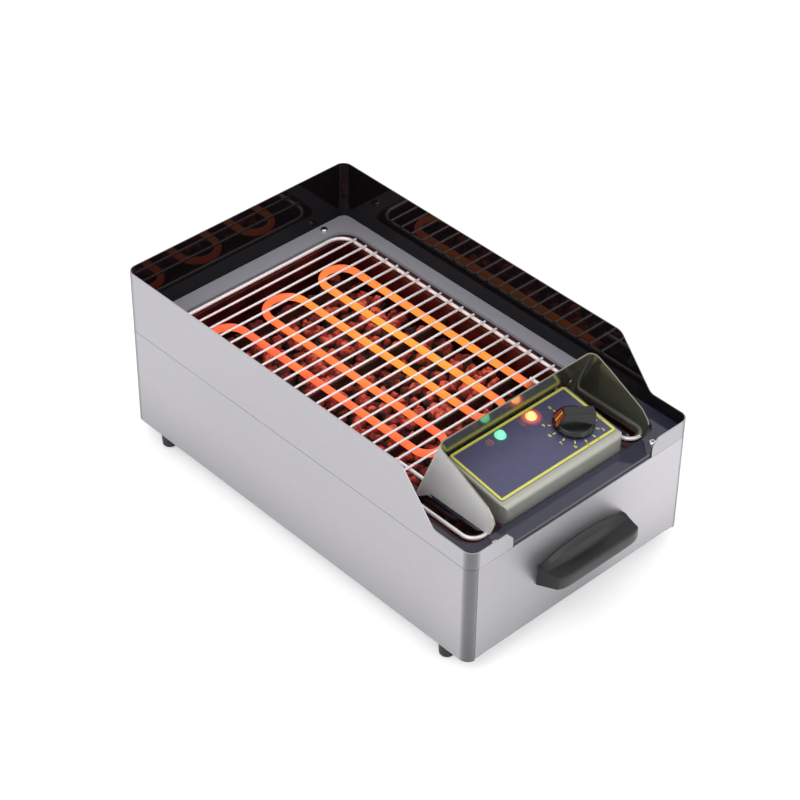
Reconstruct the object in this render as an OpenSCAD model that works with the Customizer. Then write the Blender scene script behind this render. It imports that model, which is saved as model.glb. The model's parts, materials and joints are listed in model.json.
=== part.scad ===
// Electric lava-rock table grill: a folded stainless case with a black top plate,
// a glowing tube element over lava rock, a lift-up wire grid, a raised control
// head behind a polished heat shield, and a full-width drip drawer in the front.
// All heights below are taken from the case's lower edge, all depths from the
// middle of the case; placed() sets the whole grill down on its feet.

/* [Case] */
// Width of the case across the sides
case_w = 320; // [280:5:420]
// Depth of the case from front to back
case_d = 540; // [520:5:620]
// Height of the case walls
case_h = 126.8; // [118:0.1:150]
// Thickness of the folded sheet steel
sheet = 1.2; // [0.8:0.1:1.6]
// Outside radius of the case's upright corners
case_r = 12; // [8:1:20]
// Width of the case's top flange along the sides
flange_side = 18; // [16:1:24]
// Width of the case's top flange at the front and back
flange_end = 24; // [22:1:30]

/* [Top plate] */
// Width of the plate beside the opening over the tub
opening_side = 20; // [18:0.5:26]
// Distance from the plate's back edge to the opening
opening_back = 22.5; // [20:0.5:40]
// Distance from the plate's front edge to the opening
opening_front = 22; // [20:0.5:24]
// Corner radius of the opening
opening_r = 20; // [10:1:30]
// Drop of the plate's folded rim, below its top face
plate_rim = 4; // [3.5:0.1:5]

/* [Splash guard] */
// Height of the guard's top edge above the case wall
guard_h = 78.2; // [50:0.1:120]
// Height of the guard's low front band above the case wall
guard_band = 22; // [14:0.5:30]
// Depth at which the guard starts to slope down, from the middle
guard_slope_top = 167; // [120:1:180]
// Depth at which the slope meets the low band, from the middle
guard_slope_low = 215; // [200:1:230]
// Half width left open between the guard's front tabs
guard_tab_gap = 102; // [96:1:120]

/* [Tub and rocks] */
// Step from the plate's opening in to the tub's inner face
tub_side = 15; // [14:0.5:18]
// Depth of the tub below its flange
tub_drop = 62; // [50:1:68]
// Mean breadth of one lava rock
rock_size = 23; // [18:1:30]
// Height of the rock bed
rock_h = 30; // [22:1:32]

/* [Heating element] */
// Diameter of the element tube
tube_d = 8.5; // [6:0.5:10]
// Half distance between the two middle legs
leg_inner = 25; // [22:0.5:28]
// Middle of the second legs
leg_mid = 61.5; // [56:0.5:66]
// Distance from the tub's inner face to the middle of the outer legs
leg_side = 20; // [19:0.5:26]
// Depth of the element's axis below the top of the case
tube_drop = 11.8; // [10.8:0.1:14.8]

/* [Grid] */
// Diameter of the grid's frame wire
wire_d = 4.5; // [3:0.1:5]
// Diameter of the grid's cross bars
bar_d = 2.8; // [2:0.1:3.5]
// Number of cross bars
bar_count = 20; // [10:1:24]
// Distance from the control head's shield to the nearest cross bar
bar_end = 22.02; // [18:0.02:40]
// Distance from the plate's opening to the grid's rail axes
rail_side = 10.4; // [8:0.1:13]

/* [Control head] */
// Half width of the control box
box_half_w = 88; // [76:1:90]
// Slope of the control panel in degrees
panel_tilt = 8.7; // [0:0.1:14]
// Width of the printed panel
label_w = 168; // [130:1:168]
// Length of the printed panel along its slope
label_l = 78; // [60:1:78]
// Thickness of the printed panel
label_t = 0.6; // [0.4:0.1:1]
// Diameter of the control knob's skirt
knob_d = 45; // [34:1:46]
// Height of the control knob above the panel
knob_h = 21; // [16:1:28]
// Diameter of the thermostat's spindle
spindle_d = 6; // [5:0.5:8]
// Diameter of the pilot lamps' domes
lamp_d = 12; // [8:0.5:14]

/* [Drawer] */
// Height of the drip tray's walls
tray_h = 32; // [22:1:34]
// Reach of the handle in front of the case
handle_out = 30; // [22:1:40]
// Half length of the handle
handle_half = 64; // [50:1:90]

/* [Feet and fixings] */
// Height of the rubber feet
foot_h = 20; // [12:1:30]
// Diameter of the rubber feet
foot_d = 19; // [15:1:22]
// Head diameter of the guard's pan-head screws
screw_head = 8.8; // [7:0.2:10]
// Reach of the cable gland behind the case
gland_out = 14; // [10:1:20]

/* [Hidden] */
$fn = 48;

gap = 0.3;              // clearance between pieces that do not touch
slip = 0.05;            // radial clearance of a turning fit
bend = 0.5;             // set-back of the seam line under the guard
lip = 10;               // width of small folded returns

half_w = case_w / 2;
half_d = case_d / 2;
in_w = half_w - sheet;  // inside face of the side walls
in_d = half_d - sheet;  // inside face of the back wall
win_w = half_w - flange_side - sheet;  // window in the case's top flange
win_d = half_d - flange_end - sheet;
// the drawer's opening in the front wall
mouth = half_w - lip;

deck_z = case_h + sheet;          // top of the pieces clamped on the flange
plate_z = deck_z + plate_rim;     // top face of the top plate
plate_half_d = in_d - gap;
open_w = half_w - opening_side;
open_back = plate_half_d - opening_back;
open_front = plate_half_d - opening_front;
screw_x_front = 115;
screw_x_back = 118;
screw_y = half_d - 11;
screw_d = 4;
screw_hole = screw_d + 0.4;
nut_h = 3.2;
guard_top = case_h + guard_h;
band_top = case_h + guard_band;
guard_flange = 10;      // the guard's inward flange along the sides
guard_end = 17;         // and at its ends, round the screws

tub_back = open_back - 10.5;       // inside of the tub's back wall
tub_front = open_front - 11;       // inside of the tub's front wall
tub_half_w = open_w - tub_side;
tub_floor = case_h - tub_drop;
tub_r = opening_r - 4;
tub_flange = tub_half_w + 23;

grate_z = tub_floor + 2 * sheet;   // top of the slotted rock grate
rock_floor = grate_z + gap;
rock_margin = 6;                   // keeps the bed's square corners inside the tub's
rock_half_w = tub_half_w - rock_margin;
rock_back = tub_back - rock_margin;
rock_front = tub_front - rock_margin;

tube_z = case_h - tube_drop;
back_tip = tub_back - 22.7;        // where the element's back bends peak
front_tip = half_d - 166.25;       // and its front bends
leg_outer = tub_half_w - leg_side;
r_back_out = (leg_outer - leg_mid) / 2;
r_back_mid = leg_inner;
r_front = (leg_mid - leg_inner) / 2;
cold_y = half_d - 74;              // the cold ends turn in here
cold_r = 12;                       // bend radius of the cold ends
cold_x = 26;                       // and rise here, under the control box
cold_top = case_h + 20;
support_h = 12;
support_y = [190, 60, -65];

shelf_back = half_d - 130;
wire_z = deck_z + wire_d / 2 + 0.15;      // axis of the grid's frame
bar_z = wire_z + (wire_d + bar_d) / 2 + 0.02;  // bars lie on the frame's wires
grid_back = open_back - 6;
hairpin_x = 15.05;                        // half width of the front hairpins
pivot_y = 5.5 - open_front;               // the hairpins' foremost axis
rail_x = open_w - rail_side;
bar_first = grid_back - 21.3;
bar_pitch = (bar_first + shelf_back - bar_end) / (bar_count - 1);
bar_half = rail_x + 1.8;

shelf_half = tub_half_w - 13.3;
shelf_rear = shelf_back + sheet;
shelf_front = half_d - sheet - 7;
tongue_half = 90;
shield_x = shelf_half + gap;      // inside face of the shield's wings
shield_t = 1.5;
shield_lean = 21.3;               // the rear wall leans forward by this angle
shield_low = case_h - 6.3;        // its lower edge
shield_foot_y = shelf_back;       // its rear wall's inner face at the height shield_z0
shield_z0 = case_h - 1.8;
rivet_x = 60;
rivet_d = 3;
rivet_drop = 1.7;                 // rivets sit this far below shield_z0
wing_low = wire_z + wire_d / 2 + 1.9;
slot_w = wire_d + 2;              // slots that the grid's inner wires rise in
slot_top = case_h + 36.2;

box_z0 = deck_z + gap;
box_back = half_d - 113.6;
box_front = half_d - 26.5;
panel_front = half_d - 35;        // lower edge of the printed panel
panel_z = case_h + 26.6;          // and its height there
box_wall = sheet;
knob_x = 52;
knob_y = 67 - half_d;
lamp_x = [-21, 24];
lamp_y = 101 - half_d;
stem_r = spindle_d / 2;
neck_d = 10;
knob_turn = 147;                  // the pointer's direction at rest

runner_z = 44;
tray_side = 12;                   // room for a runner beside the tray, inside the mouth
tray_half = mouth - tray_side;
tray_back = 225;
tray_z0 = runner_z + sheet + gap + sheet - tray_h;
face_gap = 0.3;                   // hairline round the drawer front
face_z0 = 2.7;
face_top = case_h - gap;
handle_z = 51;
handle_screw_x = 40;
handle_screw_z = handle_z + 14;

foot_x = half_w - 12;
foot_y_front = half_d - 42;
foot_y_back = half_d - 45;
gland_x = 96;
gland_z = 60;
gland_d = 16;
pan_z = sheet;
centre_shift = (handle_out - gland_out) / 2;

steel = [0.78, 0.77, 0.79];
mirror_steel = [0.72, 0.73, 0.72];
black_enamel = [0.13, 0.13, 0.16];
wire_steel = [0.9, 0.9, 0.9];
glow = [1, 0.45, 0.16];
rock_red = [0.42, 0.13, 0.1];
black_plastic = [0.16, 0.16, 0.16];
rubber = [0.08, 0.08, 0.08];
label_blue = [0.27, 0.27, 0.36];

// ---- helpers ----

function unit(v) = v / norm(v);

// arc that rounds the corner b between a and c with radius r
function corner(a, b, c, r, n) =
    let (u = unit(a - b), v = unit(c - b), half = acos(u * v) / 2,
         o = b + unit(u + v) * r / sin(half),
         p = b + u * r / tan(half) - o, q = b + v * r / tan(half) - o,
         t0 = atan2(p[1], p[0]), turn = atan2(p[0] * q[1] - p[1] * q[0], p * q))
    [for (k = [0:n]) o + r * [cos(t0 + turn * k / n), sin(t0 + turn * k / n)]];

// outline of points [x, y, r], each corner rounded to its radius r
function rounded(pts, n = 6) =
    [for (i = [0:len(pts) - 1])
        let (a = pts[(i + len(pts) - 1) % len(pts)], b = pts[i], c = pts[(i + 1) % len(pts)])
        each (b[2] > 0
            ? corner([a[0], a[1]], [b[0], b[1]], [c[0], c[1]], b[2], n)
            : [[b[0], b[1]]])];

module placed() {
    translate([0, centre_shift, foot_h]) children();
}

// rectangle from x0, y0 to x1, y1 with true round corners
module round_rect(x0, y0, x1, y1, r) {
    translate([x0 + r, y0]) square([x1 - x0 - 2 * r, y1 - y0]);
    translate([x0, y0 + r]) square([x1 - x0, y1 - y0 - 2 * r]);
    for (x = [x0 + r, x1 - r], y = [y0 + r, y1 - r]) translate([x, y]) circle(r);
}

// rectangle centred on the case, inset from its outer face
module case_rect(inset) {
    round_rect(-half_w + inset, -half_d + inset, half_w - inset, half_d - inset,
               max(case_r - inset, 1));
}

// side profile in depth and height, spread across the width from x0 to x1
module across(x0, x1) {
    translate([x0, 0, 0]) rotate([90, 0, 90]) linear_extrude(x1 - x0) children();
}

// a place on the printed panel, with Z square to it
function panel_at(y) = panel_z + tan(panel_tilt) * (y + panel_front);
module on_panel(x, y) {
    translate([x, y, panel_at(y)]) rotate([panel_tilt, 0, 0]) children();
}

// straight rod along Y or Z, and a bent one in the level plane
module rod_y(x, y0, y1, z, d) {
    translate([x, y0, z]) rotate([-90, 0, 0]) cylinder(d = d, h = y1 - y0);
}
module rod_x(x0, x1, y, z, d) {
    translate([x0, y, z]) rotate([0, 90, 0]) cylinder(d = d, h = x1 - x0);
}
module bend_z(x, y, z, r, d, from, turn) {
    translate([x, y, z]) rotate([0, 0, from])
        rotate_extrude(angle = turn) translate([r, 0]) circle(d = d);
}

// the four guard screws' places
module at_guard_screws() {
    for (s = [-1, 1]) {
        translate([s * screw_x_front, -screw_y, 0]) children();
        translate([s * screw_x_back, screw_y, 0]) children();
    }
}

// ---- case ----

// The case's walls are one sheet wrapped round the sides and back, with a narrow
// return at each side of the drawer's mouth.
module body_shell() {
    color(steel) placed() difference() {
        union() {
            linear_extrude(case_h - bend) difference() {
                case_rect(0);
                case_rect(sheet);
            }
            linear_extrude(case_h) difference() {
                case_rect(bend);
                case_rect(sheet);
            }
        }
        translate([-mouth, -half_d - 1, -1]) cube([2 * mouth, 2 + sheet, case_h + 2]);
        translate([gland_x, half_d - 3 * sheet, gland_z]) rotate([-90, 0, 0])
            cylinder(d = gland_d + 2 * slip, h = 6 * sheet);
    }
}

// frame that is welded inside the top of the walls and carries the tub and the plate
module top_flange() {
    color(steel) placed() difference() {
        union() {
            translate([0, 0, case_h - sheet]) linear_extrude(sheet) difference() {
                case_rect(sheet);
                square([2 * win_w, 2 * win_d], center = true);
            }
            // stiffening lip across the drawer's mouth
            translate([-mouth + 4, -in_d + gap, case_h - 12])
                cube([2 * mouth - 8, sheet, 12]);
        }
        at_guard_screws() translate([0, 0, case_h - 2 * sheet])
            cylinder(d = screw_hole, h = 4 * sheet);
    }
}

// rim that is welded inside the foot of the walls and carries the floor pan
module base_flange() {
    color(steel) placed() difference() {
        linear_extrude(sheet) difference() {
            case_rect(sheet);
            square([2 * win_w, 2 * in_d - 2 * flange_side], center = true);
            translate([-win_w, -half_d - 1]) square([2 * win_w, flange_side + 2]);
        }
        for (s = [-1, 1], y = [-foot_y_front, foot_y_back])
            translate([s * foot_x, y, -1]) cylinder(d = screw_d + 1.4, h = 4);
    }
}

module floor_pan() {
    color(steel) placed() difference() {
        translate([0, 0, pan_z]) linear_extrude(sheet)
            round_rect(-in_w + gap, -in_d + lip + gap, in_w - gap, in_d - gap, case_r - sheet);
        for (i = [-3:3], j = [-4:4])
            translate([i * 34, j * 46, pan_z + sheet / 2])
                linear_extrude(2 * sheet, center = true) {
                    square([4, 26], center = true);
                    for (e = [-13, 13]) translate([0, e]) circle(d = 4);
                }
        for (s = [-1, 1], y = [-foot_y_front, foot_y_back])
            translate([s * foot_x, y, 0]) cylinder(d = screw_d + 1.4, h = 4);
    }
}

module foot(x, y) {
    color(rubber) placed() translate([x, y, -foot_h]) difference() {
        rotate_extrude() polygon(rounded([
            [0, 0, 0], [foot_d / 2 - 1.2, 0, 2.5], [foot_d / 2, foot_h, 0.8], [0, foot_h, 0]]));
        translate([0, 0, -1]) cylinder(d = 9, h = foot_h - 5 + 1);
        translate([0, 0, foot_h - 6]) cylinder(d = screw_d + 1.4, h = 8);
    }
}
module foot_front_left() { foot(-foot_x, -foot_y_front); }
module foot_front_right() { foot(foot_x, -foot_y_front); }
module foot_rear_left() { foot(-foot_x, foot_y_back); }
module foot_rear_right() { foot(foot_x, foot_y_back); }

module foot_screws() {
    color(steel) placed() for (s = [-1, 1], y = [-foot_y_front, foot_y_back])
        translate([s * foot_x, y, -5]) {
            translate([0, 0, -3]) cylinder(d = 8, h = 3);
            cylinder(d = screw_d + 1, h = 5 + 2 * sheet + 4.5);
            translate([0, 0, 5 + 2 * sheet]) cylinder(d = 9, h = 3.5, $fn = 6);
        }
}

module cable_gland() {
    color(black_plastic) placed() translate([gland_x, half_d, gland_z]) rotate([-90, 0, 0])
        difference() {
            union() {
                cylinder(d = 22, h = 5, $fn = 6);
                rotate_extrude() polygon(rounded([
                    [0, 4, 0], [9.5, 4, 0], [9.5, gland_out - 3, 2], [6.5, gland_out, 1],
                    [0, gland_out, 0]]));
                translate([0, 0, -10]) cylinder(d = gland_d, h = 12);
                translate([0, 0, -sheet - 4]) cylinder(d = 22, h = 4, $fn = 6);
            }
            translate([0, 0, -11]) cylinder(d = 8, h = gland_out + 12);
        }
}

// ---- top ----

module top_plate() {
    color(black_enamel) placed() difference() {
        union() {
            // folded rim and top face
            translate([0, 0, deck_z]) linear_extrude(plate_rim) difference() {
                case_rect(sheet + gap);
                case_rect(2 * sheet + gap);
            }
            translate([0, 0, plate_z - sheet]) linear_extrude(sheet) case_rect(sheet + gap);
            // rim folded down round the opening
            translate([0, 0, deck_z]) linear_extrude(plate_rim)
                round_rect(-open_w - sheet, -open_front - sheet, open_w + sheet,
                           open_back + sheet, opening_r + sheet);
        }
        translate([0, 0, deck_z - 1]) linear_extrude(plate_rim + 2)
            round_rect(-open_w, -open_front, open_w, open_back, opening_r);
        at_guard_screws() translate([0, 0, deck_z - 1]) cylinder(d = screw_hole, h = 2 * plate_rim);
    }
}

// the guard's outline seen from the side: high at the back, a slope, a low band
module guard_side() {
    polygon(rounded([
        [-half_d - 1, case_h, 0], [-half_d - 1, band_top, 0],
        [-guard_slope_low, band_top, 10], [-guard_slope_top, guard_top, 14],
        [half_d + 1, guard_top, 0], [half_d + 1, case_h, 0]]));
}

module splash_guard() {
    color(steel) placed() difference() {
        union() {
            intersection() {
                translate([0, 0, case_h]) linear_extrude(guard_h) difference() {
                    case_rect(0);
                    case_rect(sheet);
                }
                across(-half_w - 1, half_w + 1) guard_side();
            }
            translate([0, 0, case_h]) linear_extrude(sheet) difference() {
                case_rect(bend);
                translate([-half_w + guard_flange, -half_d + guard_end])
                    square([case_w - 2 * guard_flange, case_d - 2 * guard_end]);
            }
        }
        // the front is open between two tabs with rounded upper ends
        rotate([90, 0, 0]) translate([0, 0, half_d - guard_end - 4]) linear_extrude(guard_end + 8)
            polygon(rounded([
                [-guard_tab_gap, case_h - 1, 0], [guard_tab_gap, case_h - 1, 0],
                [guard_tab_gap, band_top - 9.5, 6], [guard_tab_gap + 9.5, band_top + 1, 9],
                [guard_tab_gap + 9.5, band_top + 9, 0], [-guard_tab_gap - 9.5, band_top + 9, 0],
                [-guard_tab_gap - 9.5, band_top + 1, 9], [-guard_tab_gap, band_top - 9.5, 6]]));
        at_guard_screws() translate([0, 0, case_h - 1]) cylinder(d = screw_hole, h = 3 * sheet);
    }
}

module guard_screws() {
    color(wire_steel) placed() at_guard_screws() {
        translate([0, 0, plate_z]) rotate_extrude() polygon(rounded([
            [0, 0, 0], [screw_head / 2, 0, 0], [screw_head / 2, 2.8, 2], [0, 2.8, 0]]));
        translate([0, 0, case_h - sheet - nut_h - 1])
            cylinder(d = screw_d, h = plate_z - case_h + sheet + nut_h + 2);
    }
}

module guard_nuts() {
    color(steel) placed() at_guard_screws() translate([0, 0, case_h - sheet - nut_h])
        difference() {
            cylinder(d = 7.6, h = nut_h, $fn = 6);
            translate([0, 0, -1]) cylinder(d = screw_d + 2 * slip, h = nut_h + 2);
        }
}

// ---- fire tub ----

module tub_rect(grow) {
    round_rect(-tub_half_w - grow, -tub_front - grow, tub_half_w + grow, tub_back + grow,
               tub_r + grow);
}

module fire_tub() {
    color(black_enamel) placed() difference() {
        union() {
            translate([0, 0, tub_floor]) linear_extrude(case_h - tub_floor) tub_rect(sheet);
            // flange that hangs the tub on the case
            translate([0, 0, case_h]) linear_extrude(sheet)
                round_rect(-tub_flange, -open_front - 3, tub_flange, open_back + 4, 6);
        }
        translate([0, 0, tub_floor + sheet]) linear_extrude(case_h) tub_rect(0);
        // the bottom is open inside a narrow ledge for the grate
        translate([0, 0, tub_floor - 1]) linear_extrude(3 * sheet) tub_rect(-lip);
        // the control shelf's tongue passes through the front flange
        translate([-tongue_half - gap, -open_front - 4, case_h - 1])
            cube([2 * tongue_half + 2 * gap, open_front - tub_front + 5, 3 * sheet]);
    }
}

module rock_grate() {
    color([0.2, 0.2, 0.2]) placed() difference() {
        translate([0, 0, tub_floor + sheet]) linear_extrude(sheet) tub_rect(-gap);
        for (i = [-3:3], j = [-6:6])
            translate([i * 32, j * 33, tub_floor + 1.5 * sheet])
                linear_extrude(3 * sheet, center = true) square([20, 8], center = true);
    }
}

// The rocks lie in a jittered pattern of cells. Each is a dome of its own size
// and squareness, and the bed's top is the highest dome over each point.
function rock_rand(i, j, k) =
    let (s = sin(i * 127.1 + j * 311.7 + k * 74.7) * 438.5) s - floor(s);
function rock_dome(x, y, i, j) =
    let (cx = (i + 0.5 * (j % 2) + 0.32 * (rock_rand(i, j, 1) - 0.5)) * rock_size,
         cy = (j + 0.32 * (rock_rand(i, j, 2) - 0.5)) * rock_size,
         w = rock_size * (0.5 + 0.1 * rock_rand(i, j, 3)),
         q = pow(abs(x - cx) / w, 2.6) + pow(abs(y - cy) / w, 2.6))
    q < 1 ? rock_h * (0.78 + 0.22 * rock_rand(i, j, 4)) * pow(1 - q, 0.42) : 0;
function rock_height(x, y) =
    let (i = round(x / rock_size), j = round(y / rock_size))
    rock_h * 0.3 + 0.7 * max([for (a = [i - 1:i + 1], b = [j - 1:j + 1]) rock_dome(x, y, a, b)]);

module lava_rocks() {
    nx = 36;
    ny = 64;
    function px(i) = -rock_half_w + 2 * rock_half_w * i / nx;
    function py(j) = -rock_front + (rock_back + rock_front) * j / ny;
    top = [for (j = [0:ny], i = [0:nx]) [px(i), py(j), rock_floor + rock_height(px(i), py(j))]];
    row = nx + 1;
    n = len(top);
    // the rim of the base, listed in order round the bed
    rim = concat([for (i = [0:nx]) i], [for (j = [1:ny]) j * row + nx],
                 [for (i = [nx - 1:-1:0]) ny * row + i], [for (j = [ny - 1:-1:1]) j * row]);
    under = [for (k = rim) [top[k][0], top[k][1], rock_floor]];
    m = len(rim);
    faces = concat(
        [for (j = [0:ny - 1], i = [0:nx - 1]) each
            [[j * row + i, j * row + row + i, j * row + i + 1],
             [j * row + i + 1, j * row + row + i, j * row + row + i + 1]]],
        [for (k = [0:m - 1]) each
            [[rim[k], rim[(k + 1) % m], n + k], [rim[(k + 1) % m], n + (k + 1) % m, n + k]]],
        [for (k = [0:m - 1]) [n + k, n + (k + 1) % m, n + m]]);
    middle = [[0, (rock_back - rock_front) / 2, rock_floor]];
    color(rock_red) placed() polyhedron(concat(top, under, middle), faces);
}

// ---- heating element ----

module element_supports() {
    color([0.25, 0.25, 0.25]) placed() for (y = support_y)
        translate([-tub_half_w + gap, y - 1, tube_z - tube_d / 2 - gap - support_h])
            union() {
                cube([2 * tub_half_w - 2 * gap, 2, support_h]);
                cube([2 * tub_half_w - 2 * gap, 8, 2]);
            }
}

module heating_element() {
    leg_back_out = back_tip - r_back_out;
    leg_back_mid = back_tip - r_back_mid;
    leg_front = -front_tip + r_front;
    color(glow) placed() union() {
        for (s = [-1, 1]) {
            rod_y(s * leg_inner, leg_front, leg_back_mid, tube_z, tube_d);
            rod_y(s * leg_mid, leg_front, leg_back_out, tube_z, tube_d);
            rod_y(s * leg_outer, -cold_y + cold_r, leg_back_out, tube_z, tube_d);
            bend_z(s * (leg_mid + r_back_out), leg_back_out, tube_z, r_back_out, tube_d, 0, 180);
            bend_z(s * (leg_inner + r_front), leg_front, tube_z, r_front, tube_d, 180, 180);
            // cold ends: in under the control box, then up into it
            bend_z(s * (leg_outer - cold_r), -cold_y + cold_r, tube_z, cold_r, tube_d,
                   s > 0 ? -90 : 180, 90);
            rod_x(s > 0 ? cold_x + cold_r : -leg_outer + cold_r,
                  s > 0 ? leg_outer - cold_r : -cold_x - cold_r, -cold_y, tube_z, tube_d);
            translate([s * (cold_x + cold_r), -cold_y, tube_z + cold_r])
                rotate([90, s > 0 ? 180 : 90, 0])
                    rotate_extrude(angle = 90) translate([cold_r, 0]) circle(d = tube_d);
            translate([s * cold_x, -cold_y, tube_z + cold_r])
                cylinder(d = tube_d, h = cold_top - tube_z - cold_r);
        }
        bend_z(0, leg_back_mid, tube_z, r_back_mid, tube_d, 0, 180);
    }
}

module element_glands() {
    color([0.75, 0.62, 0.32]) placed() for (s = [-1, 1])
        translate([s * cold_x, -cold_y, deck_z]) difference() {
            union() {
                cylinder(d = 19, h = 5, $fn = 6);
                cylinder(d = 13, h = 9);
                translate([0, 0, -sheet]) cylinder(d = 12, h = 2);
            }
            translate([0, 0, -3]) cylinder(d = tube_d + 2 * slip, h = 14);
        }
}

module element_pins() {
    color(wire_steel) placed() for (s = [-1, 1])
        translate([s * cold_x, -cold_y, cold_top]) {
            cylinder(d = 6, h = 2);
            cylinder(d = 3, h = 6);
        }
}

// ---- control head ----

module control_shelf() {
    color(black_enamel) placed() difference() {
        union() {
            translate([0, 0, case_h]) linear_extrude(sheet)
                round_rect(-shelf_half, -tub_front + gap, shelf_half, -shelf_rear, 9.5);
            translate([-tongue_half, -shelf_front, case_h])
                cube([2 * tongue_half, shelf_front - shelf_rear, sheet]);
            // the folded rear edge leans with the shield that is riveted to it
            translate([0, -shield_foot_y, shield_z0]) rotate([shield_lean, 0, 0])
                translate([-tongue_half, -sheet, -4.2]) cube([2 * tongue_half, sheet, 7]);
        }
        for (s = [-1, 1]) translate([s * cold_x, -cold_y, case_h - 1])
            cylinder(d = 12 + 2 * slip, h = 4);
        at_shield_rivets() translate([0, 0, -5]) cylinder(d = rivet_d + 2 * slip, h = 10);
    }
}

// The shield is one sheet folded to a U. Its rear wall and both bends run along
// a line that leans forward; the wings are cut to a rounded outline.
module shield_outline() {
    y = -half_d;
    z = case_h;
    polygon(rounded([
        [-shelf_back + 30, shield_low, 0], [-shelf_back - 6, shield_low, 0],
        [-shelf_back - 24, wing_low, 2], [y + 22, wing_low, 5],
        [y + 14, z + 28.2, 14], [y + 27, z + 42.7, 10], [y + 74, z + 66.2, 20],
        [y + 104, z + 79.2, 8], [-shelf_back + 30, z + 79.2, 0]]));
}

module shield_fold() {
    r = 9;
    reach = 150;
    difference() {
        round_rect(-shield_x - shield_t, -reach, shield_x + shield_t, shield_t, r + shield_t);
        round_rect(-shield_x, -reach - 20, shield_x, 0, r);
    }
}

module heat_shield() {
    color(mirror_steel) placed() difference() {
        intersection() {
            translate([0, -shield_foot_y, shield_z0]) rotate([shield_lean, 0, 0])
                translate([0, 0, -20]) linear_extrude(110) shield_fold();
            across(-shield_x - 5, shield_x + 5) shield_outline();
        }
        // open slots for the grid's inner wires
        for (s = [-1, 1]) translate([s * (rail_x - 2 * hairpin_x), 0, 0])
            across(-slot_w / 2, slot_w / 2) translate([-shelf_back - 40, shield_low - 10])
                square([60, slot_top - shield_low + 10]);
        at_shield_rivets() translate([0, 0, -5]) cylinder(d = rivet_d + 2 * slip, h = 10);
    }
}

// rivets through the shield's rear wall and the shelf's folded rear edge
module at_shield_rivets() {
    for (s = [-1, 1]) translate([0, -shield_foot_y, shield_z0]) rotate([shield_lean, 0, 0])
        translate([s * rivet_x, 0, -rivet_drop]) rotate([90, 0, 0]) children();
}

module shield_rivets() {
    color(mirror_steel) placed() at_shield_rivets() {
        translate([0, 0, -shield_t - 1]) cylinder(d = rivet_d + 2, h = 1);
        translate([0, 0, -shield_t - 0.5]) cylinder(d = rivet_d, h = shield_t + sheet + 1);
        translate([0, 0, sheet]) cylinder(d = rivet_d + 2, h = 1);
    }
}

module box_side(inset) {
    k = tan(panel_tilt);
    function top_at(y) = [y, panel_z - (label_t + inset) / cos(panel_tilt) + k * (panel_front + y)];
    low = box_z0 - (inset > 0 ? 5 : 0);
    polygon(rounded([
        [-box_back - inset, low, 0], [-box_front + inset, low, 0],
        [each top_at(-box_front + inset + 1.5), 8 - inset],
        [each top_at(-box_back - inset), 3.5 - inset]]));
}

module box_form(inset) {
    half = box_half_w - inset;
    intersection() {
        across(-half, half) box_side(inset);
        linear_extrude(300) round_rect(-half, -box_front + inset, half, -box_back - inset,
                                       9 - inset);
        // upper side edges rounded along the slope
        translate([0, -panel_front, panel_z]) rotate([90 + panel_tilt, 0, 0])
            translate([0, 0, -150]) linear_extrude(300)
                round_rect(-half, -60, half, -label_t - inset, 4 - inset);
    }
}

module control_box() {
    color(steel) placed() difference() {
        box_form(0);
        box_form(box_wall);
        on_panel(knob_x, knob_y) translate([0, 0, -5]) cylinder(d = neck_d + 2 * slip, h = 8);
        for (x = lamp_x) on_panel(x, lamp_y) translate([0, 0, -5])
            cylinder(d = lamp_d - 2 + 2 * slip, h = 8);
    }
}

module control_panel() {
    color(label_blue) placed() difference() {
        translate([0, -panel_front, panel_z]) rotate([panel_tilt, 0, 0])
            translate([0, 0, -label_t]) linear_extrude(label_t)
                round_rect(-label_w / 2, 0, label_w / 2, label_l, 3);
        on_panel(knob_x, knob_y) translate([0, 0, -5]) cylinder(d = neck_d + 2 * slip, h = 8);
        for (x = lamp_x) on_panel(x, lamp_y) translate([0, 0, -5])
            cylinder(d = lamp_d - 2 + 2 * slip, h = 8);
    }
}

module thermostat() {
    depth = label_t + box_wall;
    color([0.85, 0.82, 0.75]) placed() on_panel(knob_x, knob_y)
        translate([0, 0, -depth - 14]) difference() {
            linear_extrude(14) round_rect(-18, -15, 18, 15, 3);
            translate([0, 0, 6]) cylinder(r = stem_r + slip, h = 10);
        }
}

module thermostat_bush() {
    depth = label_t + box_wall;
    color([0.75, 0.62, 0.32]) placed() on_panel(knob_x, knob_y) difference() {
        union() {
            translate([0, 0, -depth]) cylinder(d = neck_d, h = depth + 3);
            cylinder(d = 14, h = 2, $fn = 6);
        }
        translate([0, 0, -depth - 1]) cylinder(r = stem_r + slip, h = depth + 6);
    }
}

module safety_cutout() {
    color([0.3, 0.3, 0.32]) placed() translate([0, -cold_y - 12, deck_z]) {
        cylinder(d = 16, h = 9);
        translate([-12, -4, 0]) cube([24, 8, sheet]);
    }
}

module terminal_strip() {
    color([0.92, 0.9, 0.84]) placed() translate([-30, -cold_y + 12, deck_z])
        difference() {
            cube([48, 12, 10]);
            for (i = [0:3]) translate([6 + 12 * i, 6, 4]) cylinder(d = 4, h = 8);
        }
}

module lamp(x) {
    on_panel(x, lamp_y) {
        rotate_extrude() polygon(rounded([
            [0, 0, 0], [lamp_d / 2, 0, 0], [lamp_d / 2, 1.2, 0.4], [lamp_d / 2 - 1, 1.2, 0],
            [lamp_d / 2 - 1, 6, 4.4], [0, 6, 0]], 8));
        translate([0, 0, -label_t - box_wall - 2]) cylinder(d = lamp_d - 2, h = label_t + box_wall + 2.5);
    }
}
module lamp_green() { color([0.35, 0.95, 0.6]) placed() lamp(lamp_x[0]); }
module lamp_orange() { color([1, 0.5, 0.12]) placed() lamp(lamp_x[1]); }

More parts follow.
